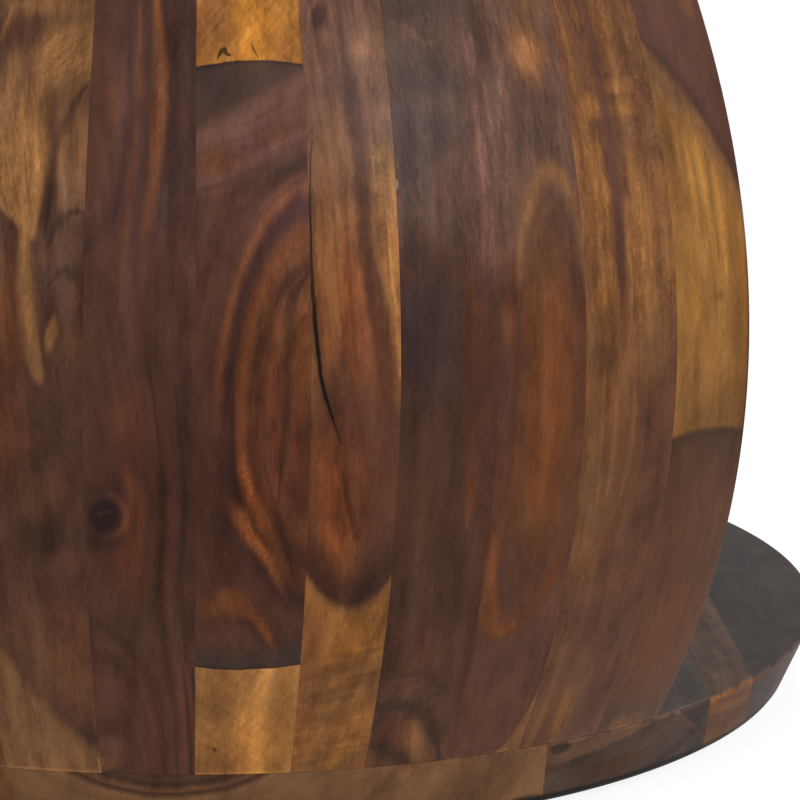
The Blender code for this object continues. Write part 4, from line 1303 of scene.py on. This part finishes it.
def knotted_plank(board):
    """Dark plank with a small half knot under the joint and a green-grey wedge on the rim."""
    board.grain = board.growth((160.0, 60.0))
    board.lay("slate", pitch=9.0, contrast=1.0)
    # The face, away from the rim, is lifted paler and bluer: partly a painted reflection of the white room on
    # the disc's top.
    board.tint(board.on_rim.scaled(-1.0, 1.0), (2.14, 2.50, 2.50))
    board.face_rim()
    rim = board.on_rim
    board.lay("umber", rim, pitch=8.0, contrast=1.1)
    board.tint(rim, (1.20, 1.64, 1.98))
    board.lay("tan", board.above([(150, -13), (176, -8), (204, -1)], 1.6) * rim * 0.4, pitch=6.0)
    board.patch("russet", (182, -20), (15, 6), rim * 0.9, 6, pitch=6.0)
    board.spot((0.36, 0.40, 0.44), (154.5, -3.4), (4.6, 3.0), rim, soft=0.3)
    board.spot(0.60, (151.5, -9.5), (3.0, 5.0), rim * 0.7)
    wedge = board.beside([(211.0, 0), (219.0, -11), (227.0, -22)]) + board.blotch * 2.0
    board.lay("rose", abs(wedge).smooth(0.4, 2.2, 1.0, 0.0) * rim * 0.4, pitch=4.0)
    board.lay("slate", wedge.smooth(0.2, 1.4) * rim, pitch=6.0, contrast=0.7)


def strip_plank(board):
    """Narrow red-brown strip with a paler, worn rim, its face under a painted grey-blue reflection."""
    rings = board.growth((250.0, 40.0))
    board.grain = board.lines()
    board.lay("russet", pitch=6.0, contrast=1.2)
    # The face, away from the rim, is lifted greyer and bluer: partly a painted reflection of the white room
    # on the disc's top.
    board.tint(board.on_rim.scaled(-1.0, 1.0), (1.50, 2.18, 2.48))
    board.lay("tan", board.on_rim * 0.9, pitch=7.0, contrast=1.0, grain=rings)
    board.tint(board.on_rim, (0.82, 0.72, 0.57))
    board.face_rim()
    # A pale line just under the upper edge: wear, partly a painted highlight of the eased edge.
    board.tint(board.verge([(226, -2.2), (240, -2.0), (254, -2.4)], 3.0) * board.on_rim, (1.6, 1.6, 1.6))
    board.spot(0.72, (236, -20), (9, 7), board.on_rim * 0.5)


def end_plank(board):
    """Slate plank at the right end of the base, lifted grey-blue as a partly painted reflection, browner on
    its rim.
    """
    board.grain = board.growth((300.0, 50.0))
    board.lay("slate", pitch=8.0, contrast=1.1)
    # The grey-blue lift is partly a painted reflection of the white room on the disc's top.
    board.tint(1.0, (1.10, 1.23, 1.33))
    board.lay("umber", board.on_rim * 0.7, pitch=6.0)


def plain_plank(timber):
    """A figure with growth rings of one timber and nothing more."""
    def draw(board):
        pith = random.Random(timber + str(board.seed))
        board.grain = board.growth((pith.uniform(*PITH_ACROSS), pith.uniform(*PITH_ABOVE)))
        board.lay(timber, pitch=9.0, contrast=1.0)
    return draw


HEART_RINGS = (
    (0.42, 3.0, 0.70), (0.55, 4.0, 1.26), (0.68, 2.6, 0.66), (0.80, 3.6, 1.24), (1.12, 2.4, 0.78),
    (1.30, 3.0, 1.16), (1.50, 2.6, 0.78),
)


def heart_plank(sap, heart, pith, reach, tilt=0.0, bow=0.0, at=0.0, knots=()):
    """A figure of sapwood round a heart, whose border and rings arch over the face, with some knots."""
    def draw(board):
        rings = board.growth(pith, tilt, bow, at)
        for place, size in knots:
            rings = rings - board.oval(place, (size * 3.4, size * 7.0), 0, 0.9) * (size * 1.8)
        board.grain = rings
        board.lay(sap, pitch=6.0, contrast=1.1)
        core = (rings + board.blotch * 5.0).smooth(reach - 1.2, reach + 1.2, 1.0, 0.0)
        board.lay(heart, core, pitch=5.0, contrast=1.3)
        board.tint(board.ring(rings, reach - 2.5, 6.0, 0.9) * 0.7, 0.66)
        for share, width, factor in HEART_RINGS:
            board.tint(board.ring(rings, reach * share, width, 0.9) * board.mottle.scaled(0.6, 0.3), factor)
        board.strokes(1.0, 4, 0.12, 1.2)
        for place, size in knots:
            away = board.ovals(place, 1.3)
            board.tint(away.smooth(size * 0.9, size * 2.4, 1.0, 0.0) * 0.7, (0.66, 0.62, 0.66))
            board.tint(board.ring(away, size * 1.3, size * 0.5, 0.9), (1.5, 1.4, 1.3))
            board.tint(away.smooth(size * 0.6, size, 1.0, 0.0), (0.38, 0.38, 0.44))
    return draw


BASE_FIGURES = (
    heart_plank("umber", "slate", (-290, 30), 46, tilt=0.05),
    heart_plank("rose", "russet", (-204, 22), 34, bow=0.0003, at=40),
    plain_plank("tan"), eyed_plank, knotted_plank, strip_plank, end_plank,
)
TOP_FIGURES = (
    heart_plank("tan", "russet", (-228, 26), 46, tilt=0.05, bow=0.0002, at=20),
    heart_plank("honey", "umber", (-194, 18), 29, bow=0.00035, at=-60),
    heart_plank("rose", "umber", (-88, 30), 62, tilt=0.12, bow=0.0001, knots=(((-118, 84), 6.5),)),
    heart_plank("rose", "russet", (-14, 14), 46, tilt=0.07, bow=0.00016, at=-90),
    heart_plank("honey", "amber", (134, 22), 34, tilt=0.02, bow=0.0001, at=40, knots=(((66, -150), 4.0),)),
    heart_plank("russet", "amber", (170, 14), 27, bow=0.0003, at=70),
    heart_plank("tan", "umber", (250, 34), 50, tilt=-0.06, at=-30),
)


def plank_material(name, figure, seed, face, radius, panel_above):
    """Draw one plank's figure on its own material."""
    board = Plank(name + "_timber", seed, face)
    figure(board)
    board.worn_edges(radius * MILLIMETRES, panel_above)
    return board.finish(*WORN_LACQUER)


# Meshes

def put_piece(node, mesh, slot, material):
    """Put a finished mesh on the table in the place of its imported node."""
    piece = bpy.data.objects.new(node + "_board", mesh)
    bpy.context.scene.collection.objects.link(piece)
    mesh.materials.append(material)
    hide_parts(node)
    return piece


def finish_mesh(bm, name, sharp=30.0):
    """Turn a bmesh into a smooth mesh with crisp corners."""
    bmesh.ops.recalc_face_normals(bm, faces=bm.faces)
    mesh = bpy.data.meshes.new(name)
    bm.to_mesh(mesh)
    bm.free()
    mesh.shade_smooth()
    mesh.set_sharp_from_angle(angle=math.radians(sharp))
    return mesh


def eased_steps(length, ease_start, ease_end, count):
    """Places along an edge-to-edge span, close together over the rounded ends, each with its drop."""
    places = [(share * ease_start, ease_start * rounding(share)) for share in EASE_SHARES]
    inner = length - ease_start - ease_end
    # A row close beside each rounded end keeps the rest of the face flat in the light
    places.append((ease_start + EDGE_ROW, 0.0))
    places += [(ease_start + inner * step / count, 0.0) for step in range(1, count)]
    places.append((length - ease_end - EDGE_ROW, 0.0))
    places += [(length - share * ease_end, ease_end * rounding(share)) for share in reversed(EASE_SHARES)]
    return places


def with_end_rows(places):
    """The same places, with a row past each rounded end on the face that meets it there."""
    (start, start_drop), (end, end_drop) = places[0], places[-1]
    return [(start, start_drop + EDGE_ROW), *places, (end, end_drop + EDGE_ROW)]


def rounding(share):
    """Drop of a quarter round, as a share of its radius."""
    return 1.0 - math.sqrt(max(0.0, 1.0 - (1.0 - share) ** 2))


def stave_mesh(name, left, right, ease_left, ease_right):
    """A bulged stave in its own frame: X across, Y inward, Z up from the belly."""
    sizes = bpy.context.scene.table_sizes
    low = FORM.base_face + sizes.seam - FORM.belly_height
    high = -low
    rings = eased_steps(high - low, sizes.seam_ease, sizes.seam_ease, sizes.stave_rings)
    span = (right - left) * FORM.belly
    columns = with_end_rows(eased_steps(span, ease_left, ease_right, sizes.stave_columns))
    bm = bmesh.new()
    faces = {"outside": [], "inside": []}
    for up, ring_drop in rings:
        height = FORM.belly_height + low + up
        outside = FORM.radius(height)
        inside = outside - FORM.level_thickness(height)
        rows = {"outside": [], "inside": []}
        for along, column_drop in columns:
            angle = left + along / FORM.belly
            drop = max(ring_drop, column_drop)
            for side, radius in (("outside", outside - drop), ("inside", inside + drop)):
                point = (radius * math.sin(angle), FORM.belly - radius * math.cos(angle), low + up)
                rows[side].append(bm.verts.new(point))
        for side, row in rows.items():
            faces[side].append(row)
    for grid in faces.values():
        for lower, upper in zip(grid, grid[1:]):
            for spot in range(len(lower) - 1):
                bm.faces.new((lower[spot], lower[spot + 1], upper[spot + 1], upper[spot]))
    outer, inner = faces["outside"], faces["inside"]
    for spot in (0, len(columns) - 1):
        for step in range(len(rings) - 1):
            bm.faces.new((outer[step][spot], outer[step + 1][spot], inner[step + 1][spot], inner[step][spot]))
    for step in (0, len(rings) - 1):
        for spot in range(len(columns) - 1):
            bm.faces.new((outer[step][spot], outer[step][spot + 1], inner[step][spot + 1], inner[step][spot]))
    return finish_mesh(bm, name)


def bare_share(angle):
    """How bare the disc's edge is at an angle: 0 under a panel, 1 beside it."""
    turned = abs((angle + math.pi / 2) % math.pi - math.pi / 2)
    return min(1.0, max(0.0, (turned - PANEL_REACH) / BARE_TURN))


def disc_mesh(lower_face, upper_face, lower_radius, upper_radius, panel_above):
    """A round disc with a tapered rim, its edges eased where they are bare."""
    sizes = bpy.context.scene.table_sizes
    bm = bmesh.new()
    rows = []
    for step in range(sizes.rim_steps):
        angle = math.tau * step / sizes.rim_steps
        joint_ease = sizes.seam_ease + (sizes.bare_edge - sizes.seam_ease) * bare_share(angle)
        eases = (sizes.rim_edge, joint_ease) if panel_above else (joint_ease, sizes.rim_edge)
        row = []
        height = upper_face - lower_face
        for up, drop in with_end_rows(eased_steps(height, eases[0], eases[1], RIM_ROWS)):
            radius = lower_radius + (upper_radius - lower_radius) * up / height - drop
            row.append(bm.verts.new((radius * math.sin(angle), -radius * math.cos(angle), lower_face + up)))
        rows.append(row)
    for near, far in zip(rows, rows[1:] + rows[:1]):
        for spot in range(len(near) - 1):
            bm.faces.new((near[spot], far[spot], far[spot + 1], near[spot + 1]))
    bm.faces.new([row[0] for row in rows])
    bm.faces.new([row[-1] for row in rows])
    return bm


def saw(bm, place, side):
    """Saw a disc along an upright plane across X, dropping what lies past it on one side."""
    cut = bmesh.ops.bisect_plane(
        bm, geom=bm.verts[:] + bm.edges[:] + bm.faces[:], plane_co=(place, 0.0, 0.0),
        plane_no=(side, 0.0, 0.0), clear_outer=True,
    )
    open_edges = [item for item in cut["geom_cut"] if isinstance(item, bmesh.types.BMEdge)]
    bmesh.ops.contextual_create(bm, geom=open_edges)


def stave_edges(name):
    """Left and right edge angles of a packed stave, seen from outside."""
    points = node_points(name)
    rear = name.startswith("rear")
    angles = []
    for point in points:
        x, y = (-point.x, -point.y) if rear else (point.x, point.y)
        angles.append(math.atan2(x, -y))
    return min(angles), max(angles)


PANEL_REACH = max(abs(edge) for name in node_names("front_stave_") for edge in stave_edges(name))


def make_panel(panel, figures, turn, seed):
    """Make the staves of one panel and put them in their places."""
    sizes = bpy.context.scene.table_sizes
    names = node_names(panel + "_stave_")
    draw = random.Random(seed)
    edges = [stave_edges(name) for name in names]
    trim = sizes.seam / 2 / FORM.belly
    for count, name in enumerate(names):
        left, right = edges[count]
        ease_left = ease_right = sizes.free_edge
        if count > 0:
            left = (edges[count - 1][1] + left) / 2 + trim
            ease_left = sizes.seam_ease
        if count < len(names) - 1:
            right = (right + edges[count + 1][0]) / 2 - trim
            ease_right = sizes.seam_ease
        middle = (left + right) / 2
        mesh = stave_mesh(name + "_visual", left - middle, right - middle, ease_left, ease_right)
        shown = panel == "front" and count >= FIRST_SHOWN
        mirror, upend = draw.random() < 0.5, draw.random() < 0.5
        material = stave_material(
            name, figures[count], draw.uniform(0.0, SEED_RANGE), mirror and not shown, upend and not shown)
        piece = put_piece(name, mesh, STAVE_SLOT, material)
        angle = middle + turn
        place = (FORM.belly * math.sin(angle), -FORM.belly * math.cos(angle), FORM.belly_height)
        piece.matrix_world = Matrix.Translation(place) @ Matrix.Rotation(angle, 4, "Z")
        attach(piece, "root")


def make_disc(disc, figures, panel_above, disc_seed):
    """Make the planks of one disc."""
    sizes = bpy.context.scene.table_sizes
    names = node_names(disc + "_plank_")
    draw = random.Random(disc_seed)
    spans = [(min(p.x for p in node_points(name)), max(p.x for p in node_points(name))) for name in names]
    height = FORM.base_face - FORM.base_floor
    if panel_above:
        low, high, radii = FORM.base_floor, FORM.base_face, (FORM.rim, FORM.joint)
    else:
        high = max(point.z for name in names for point in node_points(name))
        low, radii = high - height, (FORM.joint, FORM.rim)
    for count, (name, (left, right)) in enumerate(zip(names, spans)):
        bm = disc_mesh(low, high, radii[0], radii[1], panel_above)
        if count > 0:
            saw(bm, (spans[count - 1][1] + left) / 2 + sizes.seam / 2, -1)
        if count < len(names) - 1:
            saw(bm, (right + spans[count + 1][0]) / 2 - sizes.seam / 2, 1)
        mesh = finish_mesh(bm, name + "_visual")
        seed = draw.uniform(0.0, SEED_RANGE)
        material = plank_material(name, figures[count], seed, high, radii[1], panel_above)
        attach(put_piece(name, mesh, DISC_SLOT, material), "root")


# Plain pieces and the stage

def dress(names, material):
    """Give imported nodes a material, as they are."""
    for name in names:
        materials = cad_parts[name].data.materials
        materials.clear()
        materials.append(material)


def beech_material():
    """Plain pale beech with short flecks."""
    board = Board("dowel_beech", 3.0)
    board.lay_out(board.x, board.z, board.y, wander=0.5, ruffle=0.3)
    board.grain = board.lines()
    board.lay("beech", pitch=2.0, contrast=0.4)
    return board.finish(*BARE)


def felt_material():
    """Pressed grey felt."""
    board = Board("grey_felt", 8.0)
    board.lay_out(board.x, board.y, board.z, wander=0.5, ruffle=0.3)
    board.grain = board.lines()
    board.lay("felt", pitch=1.0, contrast=0.8)
    return board.finish(*BARE)


def make_camera(context):
    """Stand the camera where the photograph was taken from."""
    stage = context.scene.table_stage
    forward = Vector((
        math.sin(stage.yaw) * math.cos(stage.pitch), math.cos(stage.yaw) * math.cos(stage.pitch),
        -math.sin(stage.pitch)))
    level = Vector((math.cos(stage.yaw), -math.sin(stage.yaw), 0.0))
    upright = level.cross(forward)
    right = level * math.cos(stage.roll) + upright * math.sin(stage.roll)
    up = upright * math.cos(stage.roll) - level * math.sin(stage.roll)
    data = bpy.data.cameras.new("camera")
    data.lens = stage.lens
    data.sensor_width = SENSOR_WIDTH
    camera = bpy.data.objects.new("camera", data)
    context.scene.collection.objects.link(camera)
    turn = Matrix((right, up, -forward)).transposed().to_4x4()
    camera.matrix_world = Matrix.Translation(stage.eye) @ turn
    context.scene.camera = camera


def softbox(context, name, place, target, size, power):
    """A square soft lamp that faces a point."""
    data = bpy.data.lights.new(name, "AREA")
    data.shape = "SQUARE"
    data.size = size
    data.energy = power
    lamp = bpy.data.objects.new(name, data)
    context.scene.collection.objects.link(lamp)
    aim = Vector(target) - Vector(place)
    lamp.matrix_world = Matrix.Translation(place) @ aim.to_track_quat("-Z", "Y").to_matrix().to_4x4()


def seen_rays(tree):
    """One for the rays that show the background to the eye, straight or by reflection, and zero for light."""
    path = tree.nodes.new("ShaderNodeLightPath")
    camera, gloss, glass = (Field(tree, path.outputs[name]) for name in (
        "Is Camera Ray", "Is Glossy Ray", "Is Transmission Ray"))
    return camera.step("MAXIMUM", gloss).step("MAXIMUM", glass)


def make_lights(context):
    """Two softboxes and the even light of a white room."""
    stage = context.scene.table_stage
    softbox(context, "key_softbox", KEY_PLACE, LIT_POINT, KEY_SIZE, stage.key_power)
    softbox(context, "fill_softbox", FILL_PLACE, LIT_POINT, FILL_SIZE, stage.fill_power)
    world = bpy.data.worlds.new("white_room")
    world.use_nodes = True
    tree = world.node_tree
    background = tree.nodes["Background"]
    background.inputs["Color"].default_value = WHITE
    seen = seen_rays(tree)
    feed(tree, background.inputs["Strength"], seen.scaled(1.0 - stage.room_light, stage.room_light))
    context.scene.world = world


def make_floor(context):
    """A plain pale floor that shows white and keeps the shadow of the table."""
    stage = context.scene.table_stage
    bm = bmesh.new()
    place = Matrix.Translation((0.0, 0.0, FLOOR_LEVEL))
    bmesh.ops.create_grid(bm, x_segments=FLOOR_CELLS, y_segments=FLOOR_CELLS, size=FLOOR_HALF, matrix=place)
    mesh = finish_mesh(bm, "floor")
    floor = bpy.data.objects.new("floor", mesh)
    context.scene.collection.objects.link(floor)
    material = bpy.data.materials.new("pale_floor")
    material.use_nodes = True
    tree = material.node_tree
    shader = tree.nodes["Principled BSDF"]
    shader.inputs["Roughness"].default_value = FLOOR_ROUGHNESS
    shader.inputs["Specular IOR Level"].default_value = 0.0
    seen = seen_rays(tree)
    level = seen.scaled(stage.floor_shadow - stage.floor_colour[0], stage.floor_colour[0])
    feed(tree, shader.inputs["Base Color"], combined(tree, level, level, level))
    shader.inputs["Emission Color"].default_value = WHITE
    feed(tree, shader.inputs["Emission Strength"], seen * stage.floor_glow)
    mesh.materials.append(material)
    floor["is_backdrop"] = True


# Operators

class TABLE_OT_front_staves(bpy.types.Operator):
    """Make the twelve staves of the front panel"""
    bl_idname = "table.front_staves"
    bl_label = "Front Staves"

    def execute(self, context):
        make_panel("front", STAVE_FIGURES, 0.0, FRONT_SEED)
        return {"FINISHED"}


class TABLE_OT_rear_staves(bpy.types.Operator):
    """Make the twelve staves of the rear panel"""
    bl_idname = "table.rear_staves"
    bl_label = "Rear Staves"

    def execute(self, context):
        make_panel("rear", REAR_FIGURES, math.pi, REAR_SEED)
        return {"FINISHED"}


class TABLE_OT_base_planks(bpy.types.Operator):
    """Make the planks of the base disc"""
    bl_idname = "table.base_planks"
    bl_label = "Base Planks"

    def execute(self, context):
        make_disc("base", BASE_FIGURES, True, BASE_SEED)
        return {"FINISHED"}


class TABLE_OT_top_planks(bpy.types.Operator):
    """Make the planks of the table top"""
    bl_idname = "table.top_planks"
    bl_label = "Top Planks"

    def execute(self, context):
        make_disc("top", TOP_FIGURES, False, TOP_SEED)
        return {"FINISHED"}


class TABLE_OT_stage(bpy.types.Operator):
    """Set up the camera, the soft lights and the white floor"""
    bl_idname = "table.stage"
    bl_label = "Stage"

    def execute(self, context):
        make_camera(context)
        make_lights(context)
        make_floor(context)
        return {"FINISHED"}


class TABLE_OT_dowels(bpy.types.Operator):
    """Give the dowels their beech"""
    bl_idname = "table.dowels"
    bl_label = "Dowels"

    def execute(self, context):
        dress([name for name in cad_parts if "dowel" in name], beech_material())
        return {"FINISHED"}


class TABLE_OT_glides(bpy.types.Operator):
    """Give the glides their felt"""
    bl_idname = "table.glides"
    bl_label = "Glides"

    def execute(self, context):
        dress(node_names("floor_glide_"), felt_material())
        return {"FINISHED"}


class TABLE_PT_sidebar(bpy.types.Panel):
    """Buttons for the pieces of the table"""
    bl_idname = "TABLE_PT_sidebar"
    bl_label = "Barrel Coffee Table"
    bl_space_type = "VIEW_3D"
    bl_region_type = "UI"
    bl_category = "Barrel Table"

    def draw(self, context):
        for operator in OPERATORS:
            self.layout.operator(operator.bl_idname)
        for group in (context.scene.table_timbers, context.scene.table_sizes, context.scene.table_stage):
            column = self.layout.column(align=True)
            for name in group.__annotations__:
                column.prop(group, name)


OPERATORS = (
    TABLE_OT_stage, TABLE_OT_front_staves, TABLE_OT_rear_staves, TABLE_OT_base_planks, TABLE_OT_top_planks,
    TABLE_OT_dowels, TABLE_OT_glides,
)
CLASSES = (TableTimbers, TableSizes, TableStage) + OPERATORS + (TABLE_PT_sidebar,)


def register():
    """Register the classes and hang the settings on the scene."""
    for item in CLASSES:
        bpy.utils.register_class(item)
    bpy.types.Scene.table_timbers = PointerProperty(type=TableTimbers)
    bpy.types.Scene.table_sizes = PointerProperty(type=TableSizes)
    bpy.types.Scene.table_stage = PointerProperty(type=TableStage)


def unregister():
    """Take the settings and the classes away again."""
    del bpy.types.Scene.table_stage
    del bpy.types.Scene.table_sizes
    del bpy.types.Scene.table_timbers
    for item in reversed(CLASSES):
        bpy.utils.unregister_class(item)


def main():
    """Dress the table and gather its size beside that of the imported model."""
    register()
    bpy.context.scene.view_settings.view_transform = "Standard"
    bpy.ops.table.stage()
    bpy.ops.table.front_staves()
    bpy.ops.table.rear_staves()
    bpy.ops.table.base_planks()
    bpy.ops.table.top_planks()
    bpy.ops.table.dowels()
    bpy.ops.table.glides()
    visual_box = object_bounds()
    sizes = {
        "cad": [list(corner) for corner in CAD_BOX],
        "visual": [list(corner) for corner in visual_box],
    }


if __name__ == "__main__":
    main()
